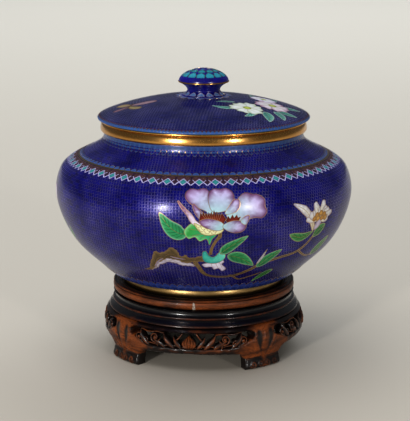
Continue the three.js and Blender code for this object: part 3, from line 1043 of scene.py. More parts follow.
def drawBelly(drawing):
    surface = drawing.surface
    # gnarled branch with pale bark, and the thin one that goes on to the right
    drawAlong(drawBranch, drawing, [(4, 61), (6, 52), (9, 40.5), (15, 36), (22, 37), (28, 43.5), (33, 51.5),
                                    (41, 56.5), (48, 59), (53, 66), (56, 76)],
              [3.6, 3.2, 3, 2.8, 2.6, 3, 2.6, 2.2, 2, 1.8, 1.4])
    drawAlong(drawBranch, drawing, [(20, 38.5), (22.5, 34.5), (25.6, 29.8), (30, 32.6), (36, 38)],
              [2, 1.8, 1.7, 1.6, 1.3], "#5e4c38")
    spot = Spot(surface, -6, 60)
    trunk = closed([(-23, -17), (-18, -13), (-15, -5), (-12, 4), (-8.6, 7.6), (-6, 5.6), (-1, 8.6), (4, 12),
                    (7.6, 10), (9.6, 5), (12, 3.2), (15, 5.6), (16, 2.4), (22, 3), (28, 3.6), (28.6, -0.6),
                    (21, -2.4), (13, -3.6), (6, -1.6), (-1, -1), (-7, -4.6), (-11.6, -11), (-17, -15.6)], 96)
    drawing.cell(spot, ragged(trunk, 0.35), even("#51432c", "#7c6642", 1.8))
    bark = closed([(-16.6, -16.6), (-12, -10), (-7, -3.4), (0, 0.6), (6, -0.2), (12, -3), (19, -4.6),
                   (20, -7.4), (13, -7.4), (7, -5.6), (2, -3.4), (-3, -4.8), (-8, -8), (-11, -12)], 70)
    drawing.cell(spot, ragged(bark, 0.4), even("#c0bac6", "#8a8296", 1.4))
    for streak in ([(-13, -11), (-9, -4), (-4, 0.4)], [(2, 3), (8, 1.2), (14, 0.4)]):
        drawing.cell(spot, ribbon(smoothLine(streak, 9),
                                  np.array([0.5, 1, 1.4, 1.2, 1.6, 1.3, 1.2, 1.3, 0.9, 0.5])),
                     even("#a99eb0", "#7f7288"), wire=0.3)
    for knot in ([(-2, 3), (3, 5.6), (7, 3.4), (3, 2.4)], [(12, 0), (17, 1), (22, 0.4)],
                 [(-12, -8), (-9, -1), (-5, 1.6)], [(-4, -2.6), (3, -1.8), (9, -4.4)]):
        drawing.curve(spot, knot, 9, 0.34)
    # stem, and the leaves beneath the blossom
    spot = Spot(surface, 13.4, 100.5)
    drawBranch(drawing, spot, [(0.4, -12), (1.4, -17), (-1.8, -22), (-4.4, -28), (-5.4, -34.6)],
               [3, 2.6, 2, 2, 2.2], "#58462e", "#7e6640")
    drawLeaf(drawing, spot, [(-24, -15.4), (-31, -14.6), (-39, -8.6), (-46, 1.4)], 13.5, veins=6)
    lobed = closed([(-24, -9), (-26.4, -13.6), (-23, -19.4), (-18, -17.8), (-14, -21.6), (-9, -19.6),
                    (-6.4, -25), (-4.6, -20), (-1, -15), (-7, -12.6), (-13, -8.4), (-19, -5.6)], 52)
    drawing.cell(spot, lobed, petal((-2, -18), (-24, -12), "#2fa27a", "#35994a", "#8ccf8e", 2.2),
                 rings=(1.2,))
    stalk = np.array([-4.4, -15.2])
    for end in ((-22.4, -11), (-20.6, -17), (-13.6, -19.2), (-7.4, -22)):
        drawing.curve(spot, [stalk, (stalk + end) / 2 + (0, 0.9), end], 7, 0.32)
    # turned leaf, sea green above and frilled white below
    spot = Spot(surface, 12, 62)
    frill = closed([(3, 5), (6, 0), (8.6, -4.4), (7, -7.4), (10.4, -13), (7.4, -16.6), (4.6, -12.6), (1, -14),
                    (-1, -10.6), (-6, -10.8), (-8.6, -7), (-3, -5), (1, -2)], 60)
    drawing.cell(spot, frill, even("#d8d3e2", "#a79bb8", 1.6))
    for line in ([(3, 0), (5, -5), (7.6, -13)], [(1, -3), (2.6, -8), (4, -11.4)], [(-1, -5), (-1.4, -9)]):
        drawing.wire(spot, line, 0.3)
    curl = closed([(-9, 5.6), (-6, 7.4), (-3.6, 3), (0, 1.2), (3.4, 4.6), (5.4, 8), (9, 4.6), (8.6, -1),
                   (4, -5.4), (-2.4, -6), (-7.6, -3)], 48)
    drawing.cell(spot, curl, petal((8, 6), (-8, -2), "#6fd0b8", "#3fae9a", "#1f7f86", 2), rings=(1.1,))
    # leaves of the thin branch
    green = {"dark": "#0e5f38", "light": "#379655", "edgeColour": "#84c4a0"}
    for places, width in (
        ([(14.6, 66.5), (18, 73), (24.6, 82.5)], 9), ([(17.4, 64.5), (23, 60.5), (29.4, 50.5)], 11.5),
        ([(31.4, 47.5), (35, 57.5), (40.4, 65.5)], 9.6),
    ):
        drawAlong(drawLeaf, drawing, places, width, **green)
    drawAlong(drawBranch, drawing, [(49.6, 61), (54, 54.6), (58.4, 50.6), (62.4, 51.6)], [1.5, 1.4, 1.2, 1])
    olive = {"dark": "#1d5c2a", "light": "#3d8c42", "edgeColour": "#8cc08c"}
    for places, width, shape in (
        ([(41.2, 40.5), (38, 34), (33.6, 23)], 7.4, 0.8), ([(54.4, 78), (48.4, 74.3), (42, 79.2)], 7.8, 1.15),
        ([(55.2, 71.6), (57.4, 76.6), (61.2, 81.5)], 10, 1.2),
        ([(61.4, 50), (64.6, 57.5), (68.6, 67)], 12.5, 0.8),
    ):
        drawAlong(drawLeaf, drawing, places, width, shape=shape, **olive)
    drawAlong(drawLeaf, drawing, [(30.7, 51.5), (32, 59), (33.4, 68)], 2.2, "#7f8aa0", "#c4c9d6", "#dfe2ea",
              veins=0)
    drawBlossom(drawing, Spot(surface, 13.4, 100.5), mainTones)
    # the second, pale blossom
    spot, line = degreesLine(drawing, [(54.2, 79), (51.8, 88), (48, 98), (42.6, 104.6)])
    drawing.cell(spot, ribbon(smoothLine(line, 16),
                              np.concatenate([np.linspace(2.8, 7, 12), np.linspace(6, 1.2, 5)])),
                 petal(line[0], line[-1], "#d2c4a0", "#e8e8e6", "#a99fb4", 1.6))
    drawing.wire(spot, smoothLine(line, 16)[2:-2], 0.34)
    cup, line = degreesLine(drawing, [(54.4, 79.4), (56, 83.5), (57.6, 88)])
    drawing.cell(cup, ribbon(smoothLine(line, 8), np.array([2, 4, 5.4, 6.2, 6.6, 6.4, 6, 5.4, 4.4])),
                 even("#cfc2d4", "#94849c", 1.4))
    drawWhiteBlossom(drawing, Spot(surface, 56.4, 87.6, turn=-8), petals=10, size=1.02)


def drawPlainSpray(drawing, degrees, s, flip=1, size=1.0, tones=paleTones):
    # a plainer spray for the sides that are turned away
    spot = Spot(drawing.surface, degrees, s, size=size, flip=flip)
    drawBranch(drawing, spot, [(-40, -40), (-30, -28), (-18, -30), (-6, -22), (0, -12)],
               [4, 3.4, 3, 2.6, 2.2])
    drawBranch(drawing, spot, [(-18, -30), (-4, -38), (12, -34), (26, -38)], [2.4, 2.2, 1.8, 1.2])
    for points, width in (([(-10, -24), (-22, -18), (-32, -8)], 10), ([(-2, -16), (10, -24), (22, -22)], 10),
                          ([(2, -36), (14, -44), (26, -50)], 8), ([(-30, -28), (-40, -22), (-46, -12)], 7)):
        drawLeaf(drawing, spot, points, width)
    drawBlossom(drawing, spot, tones, plain=True)


def drawLidSprays(drawing):
    surface = drawing.surface
    teal = {"dark": "#24665e", "light": "#68a392", "edgeColour": "#b0d0c8"}
    for places, width in (
        ([(38, 44), (28, 47), (17, 53)], 6.5), ([(50, 34), (44, 28), (37, 26)], 6),
        ([(58, 29), (54, 20), (49, 12)], 9), ([(66, 26), (64, 17), (60, 10)], 7),
        ([(70, 26), (72, 18), (74, 9)], 8.5), ([(84, 26), (88, 20), (92, 12)], 8),
        ([(92, 38), (104, 36), (114, 30)], 8), ([(52, 57), (40, 62), (26, 63)], 5),
        ([(96, 50), (110, 52), (122, 50)], 6),
    ):
        drawAlong(drawLeaf, drawing, places, width, **teal)
    for degrees, s, turn, size, tone, rim in (
        (50, 41, -40, 1.0, "#cfd2d2", "#aab696"), (80, 34, -78, 1.05, "#cfc0ce", "#9c6c88"),
        (100, 44, -100, 0.8, "#e2e0ea", "#b49ac2"),
    ):
        spot = Spot(surface, degrees, s, turn=turn, size=size)
        for k in range(6):
            angle = math.radians(60 * k + 12)
            tip = 14 * np.array([math.cos(angle), math.sin(angle)]) * (1 + 0.1 * math.sin(3 * k))
            side = np.array([-tip[1], tip[0]]) / 14
            outline = closed([tip * 0.1, tip * 0.5 - side * 5.6, tip * 0.94 - side * 4.4, tip * 0.9,
                              tip * 0.98 + side * 4, tip * 0.5 + side * 5.6], 28)
            drawing.cell(spot, outline, petal((0, 0), tip, "#e4e6d8", tone, rim, 2.4))
            drawing.wire(spot, [tip * 0.3, tip * 0.66], 0.28)
        drawing.cell(spot, oval(0, 0, 3.4, 3.4, 18), even("#b9c25a", "#6f7d2f", 2))
    # butterfly
    spot = Spot(surface, -68, 31, turn=52)
    wings = (
        ([(0, 2), (8, 8), (17, 11), (21, 7), (15, 1), (6, -1)], "#8e727c", "#7a525a"),
        ([(0, -1), (6, -4), (13, -8), (12, -13), (6, -12), (1, -6)], "#8a7c56", "#6e5838"),
        ([(0, 2), (-7, 8), (-15, 10), (-18, 6), (-12, 1), (-5, -1)], "#94805c", "#74583a"),
        ([(0, -1), (-5, -4), (-11, -8), (-10, -12), (-5, -11), (-1, -6)], "#7e5e6c", "#64404c"),
    )
    for points, tone, rim in wings:
        drawing.cell(spot, closed(points, 28), even(tone, rim, 1.8))
    for vein in ([(1, 1.6), (9, 6), (16, 8)], [(-1, 1.6), (-8, 6), (-14, 7.4)], [(1, -2), (6, -6), (9, -10)],
                 [(-1, -2), (-5, -6), (-8, -9)]):
        drawing.curve(spot, vein, 7, 0.3)
    body = smoothLine([(0, 6), (0.2, 0), (0, -9)], 9)
    drawing.cell(spot, ribbon(body, np.array([1.6, 2, 2.2, 2.2, 2, 1.8, 1.5, 1.2, 0.9, 0.6])),
                 even("#5a3b2a"))
    for feeler in ([(0.4, 6), (3, 10), (7, 12)], [(-0.4, 6), (-3, 10), (-6, 12)]):
        drawing.curve(spot, feeler, 7, 0.3)
    # a small spray at the back
    for places in ([(-150, 34), (-138, 33), (-128, 27)], [(-166, 32), (-176, 29), (-178, 22)],
                   [(-158, 28), (-156, 18), (-152, 11)]):
        drawAlong(drawLeaf, drawing, places, 8, **teal)
    drawWhiteBlossom(drawing, Spot(surface, -156, 32, size=0.85), tone="#dfe0e6", rim="#b59ac0")


def drawnTriangles(drawing, levels, columns):
    # the surface laid flat and cut along its rows and every outline, and which shape each triangle belongs to
    wide = enamelMesh["wide"]
    across = len(columns)
    points = [(a * wide, s) for s in levels for a in columns]
    edges = [(i * across + k, i * across + k + 1) for i in range(len(levels)) for k in range(across - 1)]
    for outline, _, _ in drawing.shapes:
        first, size = len(points), len(outline)
        points += [(a * wide, s) for a, s in outline]
        edges += [(first + k, first + (k + 1) % size) for k in range(size)]
    made = delaunay_2d_cdt([Vector(p) for p in points], edges, [], 0, 1e-4, False)
    plane = np.array([tuple(p) for p in made[0]])
    plane[:, 0] /= wide
    triangles = np.array(made[2])
    centres = plane[triangles].mean(axis=1)
    owner = np.full(len(triangles), -1)
    for number, (outline, _, _) in enumerate(drawing.shapes):
        boxed = (centres > outline.min(axis=0)) & (centres < outline.max(axis=0))
        near = np.nonzero(np.all(boxed, axis=1))[0]
        owner[near[inside(centres[near], outline)]] = number
    return plane, triangles, owner


def spunRings(profile, angle):
    # a profile's corners carried round, with the normals of the surface they make
    profile = np.array(profile, float)
    slope = np.gradient(profile, axis=0)
    slope /= np.maximum(np.linalg.norm(slope, axis=1, keepdims=True), 1e-9)
    right, back, level = np.sin(angle), -np.cos(angle), np.ones(len(angle))
    places = [np.stack([r * right, r * back, z * level], axis=1) for r, z in profile]
    normals = [np.stack([dz * right, dz * back, -dr * level], axis=1) for dr, dz in slope]
    return np.vstack(places), np.vstack(normals)


def enamelledPiece(name, drawing, settings, ground, sHigh, before, after):
    # the drawn surface up to a distance, with every fret row's edge in its mesh, closed by spun profiles
    surface = drawing.surface
    rows = int(round(sHigh / settings["fretRow"]))
    levels = np.linspace(0, sHigh, rows + 1)
    around = enamelMesh["columns"]
    columns = np.linspace(-math.pi, math.pi, around + 1)
    plane, triangles, owner = drawnTriangles(drawing, levels, columns)
    corners = plane[triangles]
    row = np.clip(np.searchsorted(levels, corners.mean(axis=1)[:, 1]) - 1, 0, rows - 1)
    girth = 2 * math.pi * surface.radius((levels[:-1] + levels[1:]) / 2)
    counts = np.maximum(enamelMesh["leastCells"], np.round(girth / settings["fretAcross"]))
    fretU = (corners[:, :, 0] + math.pi) / (2 * math.pi) * counts[row][:, None] + 0.5 * (row % 2)[:, None]
    fretV = row[:, None] + (corners[:, :, 1] - levels[row][:, None]) / (levels[1] - levels[0])
    colours = np.zeros((len(triangles), 3, 3))
    slots = np.zeros(len(triangles), int)          # 0 ground, 1 wire, 2 enamel, 3 the enamel inside
    for number, (_, spot, shade) in enumerate(drawing.shapes):
        mine = np.nonzero(owner == number)[0]
        if shade is None:
            slots[mine] = 1
        elif len(mine):
            slots[mine] = 2
            colours[mine] = shade(spot.back(corners[mine].reshape(-1, 2))).reshape(-1, 3, 3)
    faces, slots, start = triangles.tolist(), slots.tolist(), len(plane)
    vertices = [surface.at(plane[:, 0], plane[:, 1])]
    normals = [surface.normal(plane[:, 0], plane[:, 1])]
    for profile in (before, after):
        places, directions = spunRings(profile, columns[:-1])
        vertices.append(places)
        normals.append(directions)
        for i in range(len(profile) - 1):
            a, b = start + i * around, start + (i + 1) * around
            faces += [[a + k, a + (k + 1) % around, b + (k + 1) % around, b + k] for k in range(around)]
            slots += [3] * around
        start += len(places)
    vertices, normals = np.vstack(vertices), np.vstack(normals)
    first, joined = joinedPoints(vertices)
    keptFaces, keptSlots, keptColours, keptFret = [], [], [], []
    for i, face in enumerate(faces):
        loop = [int(joined[v]) for v in face]
        keep = [j for j in range(len(loop)) if loop[j] != loop[j - 1]]
        if len({loop[j] for j in keep}) < 3:
            continue
        drawn = i < len(triangles)
        keptFaces.append([loop[j] for j in keep])
        keptSlots.append(slots[i])
        keptColours += [colours[i, j] if drawn else enamelMesh["plainColour"] for j in keep]
        keptFret += [(fretU[i, j], fretV[i, j]) if drawn else (0, 0) for j in keep]
    materials = [ground, giltWire, enamel, counterEnamel]
    thing = meshObject(name, vertices[first], keptFaces, materials, keptSlots)
    cornerLayer(thing.data, "fret", keptFret)
    cornerColours(thing.data, "enamel", np.array(keptColours))
    thing.data.normals_split_custom_set_from_vertices(normals[first].tolist())
    print(name, len(keptFaces), "faces,", len(drawing.shapes), "drawn shapes")
    return thing


def plainEnamel(name, deep, bright):
    shader = Shader(name)
    cloud = shader.noise(34, detail=5)
    specks = shader.noise(900, detail=2)
    tone = shader.mix(cloud.step(0.3, 0.7), deep, bright)
    shader.set(Base_Color=shader.mix(specks.step(0.64, 0.7) * 0.5, tone, (0.02, 0.06, 0.1)))
    shader.set(Roughness=0.2 + cloud * 0.12)
    shader.bump(cloud * 0.6 + specks * 0.3, 0.00008, 0.5)
    return shader.material


counterEnamel = plainEnamel("counterEnamel", "#2a7f9a", "#4aa3b8")

bellyDrawing = Drawing(bowlSurface)
drawBelly(bellyDrawing)
drawPlainSpray(bellyDrawing, -80, 84, flip=-1, size=0.92)
drawPlainSpray(bellyDrawing, 142, 94, size=0.95, tones=mainTones)
bowlPiece = enamelledPiece("bowlEnamel", bellyDrawing, bowl, cobaltGround, bowlSurface.length,
                           [(0, 66.2), (40, 66.2), (68.5, 66.2)], [(83.6, 187.7), *bowl["inside"]])
finished(bowlPiece, "bowl_enamel", "bowl_body")

lidDrawing = Drawing(lidSurface)
drawLidSprays(lidDrawing)
lidTopEnd = float(np.interp(-lid["drawnTo"], -lidSurface.line[:, 0], lidSurface.along))
lidTopRing = (float(lidSurface.radius(lidTopEnd)), float(lidSurface.height(lidTopEnd)))
lidPiece = enamelledPiece("lidEnamel", lidDrawing, lid, lidGroundPaintedSheen, lidTopEnd, [*lid["inside"], (87.6, 197.9)],
                          [lidTopRing, (10, 216.5), (0, 216.5)])
finished(lidPiece, "lid_enamel", "lid_dome")
print("enamelled surfaces made")

# Borders that repeat round the enamel, drawn once and carried round by Geometry Nodes

patchMesh = {"edge": 1.1, "grid": 1.3, "gridStart": 0.8, "gap": 0.45, "depth": 0.15}


def patch(surface, s0, outline, shade, lift, degrees=0.0):
    # one cell laid on a surface, with its edges drawn down into it
    spot = Spot(surface, degrees, s0)
    outline = resampled(counterClockwise(np.asarray(outline, float)), patchMesh["edge"])
    low, high = outline.min(axis=0) + patchMesh["gridStart"], outline.max(axis=0)
    gridX, gridY = np.meshgrid(*(np.arange(low[k], high[k], patchMesh["grid"]) for k in (0, 1)))
    inner = np.stack([gridX.ravel(), gridY.ravel()], axis=1)
    inner = inner[inside(inner, outline)]
    inner = inner[distanceTo(inner, outline) > patchMesh["gap"]]
    edges = [(k, (k + 1) % len(outline)) for k in range(len(outline))]
    made = delaunay_2d_cdt([Vector(p) for p in np.vstack([outline, inner])], edges, [], 0, 1e-5, False)
    flat = np.array([tuple(p) for p in made[0]])
    faces = np.array(made[2])
    faces = faces[inside(flat[faces].mean(axis=1), outline)].tolist()
    plane = spot.out(flat)
    top = surface.at(plane[:, 0], plane[:, 1], lift)
    under = surface.at(plane[:, 0], plane[:, 1], -patchMesh["depth"])
    n = len(top)
    walls = [[b, a, a + n, b + n] for a, b in edgesOnce(faces)]
    backs = [[v + n for v in reversed(face)] for face in faces]
    colours = shade(flat, outline) if shade else np.zeros((len(flat), 3))
    return np.vstack([top, under]), faces + backs + walls, np.vstack([colours, colours])


def borderRing(name, surface, count, cells, material, lift, slot, node):
    # cells is a list of (distance up the profile, outline, shade)
    vertices, faces, colours, total = [], [], [], 0
    for s0, outline, shade in cells:
        places, shell, tones = patch(surface, s0, outline, shade, lift)
        vertices.append(places)
        faces += [[v + total for v in face] for face in shell]
        colours.append(tones)
        total += len(places)
    thing = meshObject(name, np.vstack(vertices), faces, [material], sharp=40)
    colours = np.vstack(colours)
    cornerColours(thing.data, "enamel", np.array([colours[i] for face in faces for i in face]))
    finished(repeatRound(thing, count, material), slot, node)


def strip(points, width):
    return ribbon(np.array(points, float), width)


def mirrored(lines):
    # each line, then its mirror image across the middle of the repeat
    return [np.array(line, float) * [sign, 1] for line in lines for sign in (1, -1)]


shoulder = {
    "count": 56, "tip": 124.9, "low": 3.4, "high": 10.6, "top": 11.8, "archWire": 0.3, "edgeWire": 0.35,
    "topWire": 0.4, "maroon": ("#4a303c", "#2c2034", 1.4), "green": ("#6c6644", "#4a4630", 0.7),
    "scallop": ("#2e4880", "#48629a", 1.1), "diamond": ("#398a8c", "#286e74", 1.6),
    "line": ("#cfc9e2", "#aaa4cc", 0.5),
}


def shoulderBorder():
    # zigzag lines with diamonds below, a maroon band, a narrow green one and a row of scallops
    count, s0 = shoulder["count"], shoulder["tip"]
    low, high, top = shoulder["low"], shoulder["high"], shoulder["top"]
    halfAt = lambda y: math.pi * bowlSurface.radius(s0 + y) / count       # half a repeat's width
    half, halfHigh, halfTop = halfAt(3.6), halfAt(high), halfAt(top)

    def ring(name, shapes, material, lift, slot):
        cells = [(s0, outline, even(*shoulder[tone]) if tone else None) for outline, tone in shapes]
        borderRing(name, bowlSurface, count, cells, material, lift, slot, "bowl_body")

    scallop = smoothLine([(-halfTop, top + 0.1), (-halfTop * 0.86, top + 2.4), (-halfTop / 2, top + 3.8),
                          (-halfTop * 0.14, top + 2.4), (0, top + 0.1)], 14)
    scallops = [scallop, scallop + [halfTop, 0]]
    maroon = [(-half, low + 0.2), (-half, 0.6), (-3.1, 3.7), (0, 0.6), (3.1, 3.7), (half, 0.6),
              (halfHigh, high), (-halfHigh, high)]
    green = [(-halfHigh, high), (halfHigh, high), (halfTop, top), (-halfTop, top)]
    ring("shoulderBand", [(maroon, "maroon"), (green, "green"), *((line, "scallop") for line in scallops)],
         enamel, 0.04, "bowl_enamel")
    diamond = [(0, 0.2), (3, 3.7), (0, 7.4), (-3, 3.7)]
    ring("shoulderDiamonds", [(diamond, "diamond")], enamel, 0.07, "bowl_enamel")
    lines = [*((line, 0.75) for line in mirrored([[(0, 0), (3.2, 3.7), (0, 7.6)]])),
             *((line, 0.85) for line in mirrored([[(3.2, 3.7), (half, 0.2)]])),
             *((line, 0.5) for line in mirrored([[(3.2, 3.7), (5.2, 6.3)]]))]
    ring("shoulderZigzag", [(strip(line, width), "line") for line, width in lines], enamel, 0.1,
         "bowl_enamel")
    wires = []
    for x in (-halfHigh / 2, halfHigh / 2):
        wires += [strip(smoothLine([(x - 2.3, y - 0.4), (x, y + 0.9), (x + 2.3, y - 0.4)], 6),
                        shoulder["archWire"])
                  for y in (7, 8.7)]
        wires.append(strip([(x - halfHigh / 2, high + 0.1), (x + halfHigh / 2, high + 0.1)],
                           shoulder["edgeWire"]))
    wires.append(strip([(-halfTop, top), (halfTop, top)], shoulder["topWire"]))
    wires += [strip(line, shoulder["edgeWire"]) for line in scallops]
    ring("shoulderWires", [(wire, None) for wire in wires], giltWire, 0.12, "gilt_brass")


def outlinedRing(names, surface, count, cells, wire, slot, node):
    # a ring of enamel cells, and a second ring with the last cell's outline in wire
    borderRing(names[0], surface, count, cells, enamel, 0.05, slot, node)
    s0, outline, _ = cells[-1]
    wires = [(s0, strip(outline, wire), None)]
    borderRing(names[1], surface, count, wires, giltWire, 0.09, "gilt_brass", node)


def lappetBorder(name, surface, settings, slot, node, way=1):
    # a plain band with a row of pointed lappets on the side that way points to, 1 up the profile and -1 down
    count, s0, lappet = settings["count"], settings["start"], settings["lappet"]
    rise = way * settings["bandHeight"]
    half, across = (math.pi * surface.radius(s) / count for s in (s0, s0 + rise))
    shoulderAt = way * (settings["bandHeight"] + lappet * 0.5)
    tip = way * (settings["bandHeight"] + lappet)
    band = [(-half, 0), (half, 0), (across, rise), (-across, rise)]
    point = smoothLine([(-across * 0.98, rise), (-across * 0.8, shoulderAt), (0, tip),
                        (across * 0.8, shoulderAt), (across * 0.98, rise)], 12)
    cells = [(s0, band, even(*settings["tones"], 1)), (s0, point, even(*settings["tones"], 0.9))]
    outlinedRing((name + "Enamel", name + "Wires"), surface, count, cells, 0.3, slot, node)


neck = {"count": 104, "start": 166.6, "bandHeight": 3.6, "lappet": 4.4, "tones": ("#2c467c", "#3c5a90")}
foot = {"count": 84, "start": 9.5, "bandHeight": 8, "lappet": 4.2, "tones": ("#243678", "#364c90")}
lidEdge = {"count": 170, "start": 1.5, "bandHeight": 1.3, "lappet": 1.9, "tones": ("#2c4a84", "#3c5e98"),
           "dot": 0.8, "dotGap": 0.3, "dotTones": ("#6a3844", "#4a2a3c", 0.6)}
lidCrown = {"count": 16, "start": lidTopEnd - 0.4, "bandHeight": 2.0, "lappet": 4.6,
            "tones": ("#4c6ca0", "#8c8abe")}


def lidEdgeDots():
    # a small dot above each gap between the lappets
    count, size = lidEdge["count"], lidEdge["dot"]
    s0 = lidEdge["start"] + lidEdge["bandHeight"] + lidEdge["lappet"] + lidEdge["dotGap"]
    x = math.pi * lidSurface.radius(s0) / count
    dot = [(x, -size), (x + size, 0), (x, size), (x - size, 0)]
    borderRing("lidEdgeDots", lidSurface, count, [(s0, dot, even(*lidEdge["dotTones"]))], enamel, 0.05,
               "lid_enamel", "lid_dome")


shoulderBorder()
lappetBorder("neckLappets", bowlSurface, neck, "bowl_enamel", "bowl_body", way=-1)
lappetBorder("footLappets", bowlSurface, foot, "bowl_enamel", "bowl_body")
lappetBorder("lidEdgeLappets", lidSurface, lidEdge, "lid_enamel", "lid_dome")
lidEdgeDots()
lappetBorder("lidCrownLappets", lidSurface, lidCrown, "lid_enamel", "lid_dome", way=-1)
print("borders made")

# A glued joint in the stand's moulding, its filler dried pale

rimJoint = {
    "degrees": 2.2, "proud": 0.1,
    "moulding": [(74, 50.95), (75.4, 51.2), (76.7, 52.2), (77.4, 53.7), (77.55, 55.2), (77.4, 56.6),
                 (77, 57.4), (77.2, 58)],
    "filler": [(-1.1, 0.8), (0.5, 0.5), (1.3, 2.2), (1.1, 4.2), (1.2, 6), (0.6, 8), (-0.1, 9.3), (-0.8, 8.2),
               (-0.9, 6), (-1.2, 3.6)],
}


def driedGlue():
    shader = Shader("driedGlue")
    lumps = shader.noise(700, detail=4)
    shader.set(Base_Color=shader.mix(lumps.step(0.35, 0.6), "#6c5848", "#a39a90"))
    shader.set(Roughness=0.4 + lumps * 0.25)
    shader.bump(lumps, 0.0002, 0.7)
    return shader.material


def rimFiller():
    surface = Spun(rimJoint["moulding"])
    vertices, faces, _ = patch(surface, 0, closed(rimJoint["filler"], 30), None, rimJoint["proud"],
                               rimJoint["degrees"])
    finished(meshObject("rimFiller", vertices, faces, [driedGlue()], sharp=50), "worn_hardwood", "stand_rim")


rimFiller()
print("joint in the moulding filled")

# Gilt rings and the knob

collar = {"profile": [(80.7, 188.02), (85.2, 188.05), (86.2, 188.4), (86.7, 189.2), (86.78, 190.4),
                      (86.6, 192), (86.25, 193.6), (85.8, 195), (85.3, 195.7), (84.8, 195.78),
                      (80.7, 195.78)]}
lidRimRing = {"profile": [(78.3, 190.2), (79.9, 190.2), (80, 196.15), (86.2, 196.15), (86.75, 196.5),
                          (86.85, 197), (86.7, 197.5), (86.3, 197.86), (78.3, 197.86)]}
footRingRing = {"profile": [(61.5, 58.75), (66.9, 58.75), (67.9, 59.3), (68.6, 60.4), (68.95, 61.8),
                            (68.9, 63.2), (68.6, 64.6), (68.2, 65.5), (67.8, 65.9), (61.5, 65.9)]}
finished(turned("mouthCollarRing", collar["profile"], giltBrass), "gilt_brass", "mouth_collar")
finished(turned("lidRimRing", lidRimRing["profile"], giltBrass), "gilt_brass", "lid_rim")
finished(turned("footRingRing", footRingRing["profile"], darkerFootBrass), "gilt_brass", "foot_ring")

knob = {
    # count, start, width, height and colours
    "petals": [("capPetalsLow", 14, 4.8, 7.2, 6.6, "#2f8a9c", "#1f6a84"),
               ("capPetalsHigh", 10, 11.6, 6.2, 5.6, "#258088", "#1a5c74"),
               ("capHeart", 6, 17.4, 3.4, 4.6, "#2c6f9e", "#24508a")],
    "neck": [(18.4, 216.85), (18.4, 217.4), (17, 217.9), (15.2, 218.9), (14, 220.4), (13.7, 221.6),
             (14.4, 223.2), (16, 225), (18.4, 226.6), (20.6, 227.9)],
    "cap": [(20.9, 229), (20.6, 230.4), (19.6, 232), (17.6, 234.1), (14.4, 236.1), (11, 237.5), (7, 238.6),
            (3, 239.1), (0, 239.2)],
}


def knobBody():
    dark = plainEnamel("knobCobalt", "#0d0a52", "#1a1288")
    profile = [(0, 216.85), *smoothLine(knob["neck"], 30), (20.9, 228.2), *smoothLine(knob["cap"], 36)[:-1],
               (0, 239.2)]
    finished(turned("knobEnamel", profile, dark, around=144, closed=False), "knob_enamel", "lid_knob")
    rim = [(20.5, 227.8), (21.1, 227.85), (21.45, 228.25), (21.45, 228.6), (21.2, 229), (20.6, 229.1)]
    finished(turned("knobRimWire", rim, giltBrass, around=144), "gilt_brass", "lid_knob")


def knobOrnament():
    def ring(names, surface, count, s0, line, tone, edgeTone):
        cells = [(s0, smoothLine(line, 12), even(tone, edgeTone, 1.1))]
        outlinedRing(names, surface, count, cells, 0.32, "knob_enamel", "lid_knob")

    cap = Spun(knob["cap"])
    for name, count, s0, width, height, *tones in knob["petals"]:
        line = [(-width * 0.45, 0), (-width / 2, height * 0.45), (0, height), (width / 2, height * 0.45),
                (width * 0.45, 0)]
        ring((name, name + "Wire"), cap, count, s0, line, *tones)
    line = [(-3.2, 0), (-2.9, 2.4), (0, 4.8), (2.9, 2.4), (3.2, 0)]
    ring(("knobNeckPetals", "knobNeckWires"), Spun(knob["neck"]), 14, 1.2, line, "#547cac", "#9692bc")


knobBody()
knobOrnament()
print("gilding and knob made")

# Floor, light and camera

surroundings = {
    "floorHalf": 24.0, "floorDark": 0.97, "floor": "#b9b2a6", "air": (0.93, 0.95, 1.0, 1),
    "airStrength": 0.13,
}


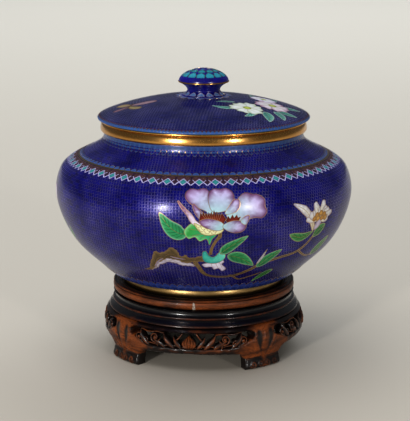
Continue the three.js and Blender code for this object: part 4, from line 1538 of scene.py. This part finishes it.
def studio():
    half, paint = surroundings["floorHalf"], linear(surroundings["floor"])
    mesh = bpy.data.meshes.new("floor")
    corners = [(-half, -half, 0), (half, -half, 0), (half, half, 0), (-half, half, 0)]
    mesh.from_pydata(corners, [], [(0, 1, 2, 3)])
    floor = bpy.data.objects.new("floor", mesh)
    bpy.context.collection.objects.link(floor)
    shader = Shader("floorPaint")
    cloud = shader.noise(0.8, detail=4)
    shader.set(Base_Color=shader.mix(cloud, paint * surroundings["floorDark"], paint))
    shader.set(Roughness=0.8, Specular_IOR_Level=0.15)
    mesh.materials.append(shader.material)
    world = bpy.data.worlds.new("studio")
    world.use_nodes = True
    bpy.context.scene.world = world
    background = world.node_tree.nodes["Background"]
    background.inputs["Color"].default_value = surroundings["air"]
    background.inputs["Strength"].default_value = surroundings["airStrength"]


def lamp(name, place, aim, size, watts, colour, glossy=True):
    light = bpy.data.lights.new(name, "AREA")
    light.shape, light.size, light.size_y = "RECTANGLE", size[0], size[1]
    light.energy, light.color = watts, colour
    thing = bpy.data.objects.new(name, light)
    thing.location = place
    thing.visible_glossy = glossy
    thing.rotation_euler = (Vector(aim) - Vector(place)).to_track_quat("-Z", "Y").to_euler()
    bpy.context.collection.objects.link(thing)


studio()
middle = (0, 0, 0.12)
lamp("windowLeft", (-1.05, -2.6, 0.62), middle, size=(0.29, 0.54), watts=42, colour=(1, 0.98, 0.95))
lamp("windowRight", (1.75, -2.0, 0.66), middle, size=(0.19, 0.5), watts=16, colour=(1, 0.98, 0.96))
lamp("ceiling", (-0.7, -0.5, 2.6), middle, size=(3.4, 3), watts=49, colour=(0.97, 0.98, 1), glossy=False)
lamp("wallWash", (0, 3.4, 2.6), (0, 3.2, 0), size=(6, 4), watts=196, colour=(0.85, 0.92, 1), glossy=False)

camera = {
    "focal": 124.7, "distance": 1213.0, "height": 395.4, "azimuth": 8.2, "pitch": 12.92, "shift": 0.0031,
}


def placeCamera():
    lens = bpy.data.cameras.new("camera")
    lens.lens, lens.sensor_width, lens.shift_x = camera["focal"], 36, camera["shift"]
    lens.clip_start, lens.clip_end = 0.05, 50
    eye = bpy.data.objects.new("camera", lens)
    azimuth = math.radians(camera["azimuth"])
    distance = camera["distance"] * mm
    eye.location = (distance * math.sin(azimuth), -distance * math.cos(azimuth), camera["height"] * mm)
    eye.rotation_euler = (math.radians(90 - camera["pitch"]), 0, azimuth)
    bpy.context.collection.objects.link(eye)
    bpy.context.scene.camera = eye


placeCamera()
bpy.context.scene.view_settings.view_transform = "Standard"
bpy.context.scene.view_settings.look = "Medium High Contrast"

print("scene ready")
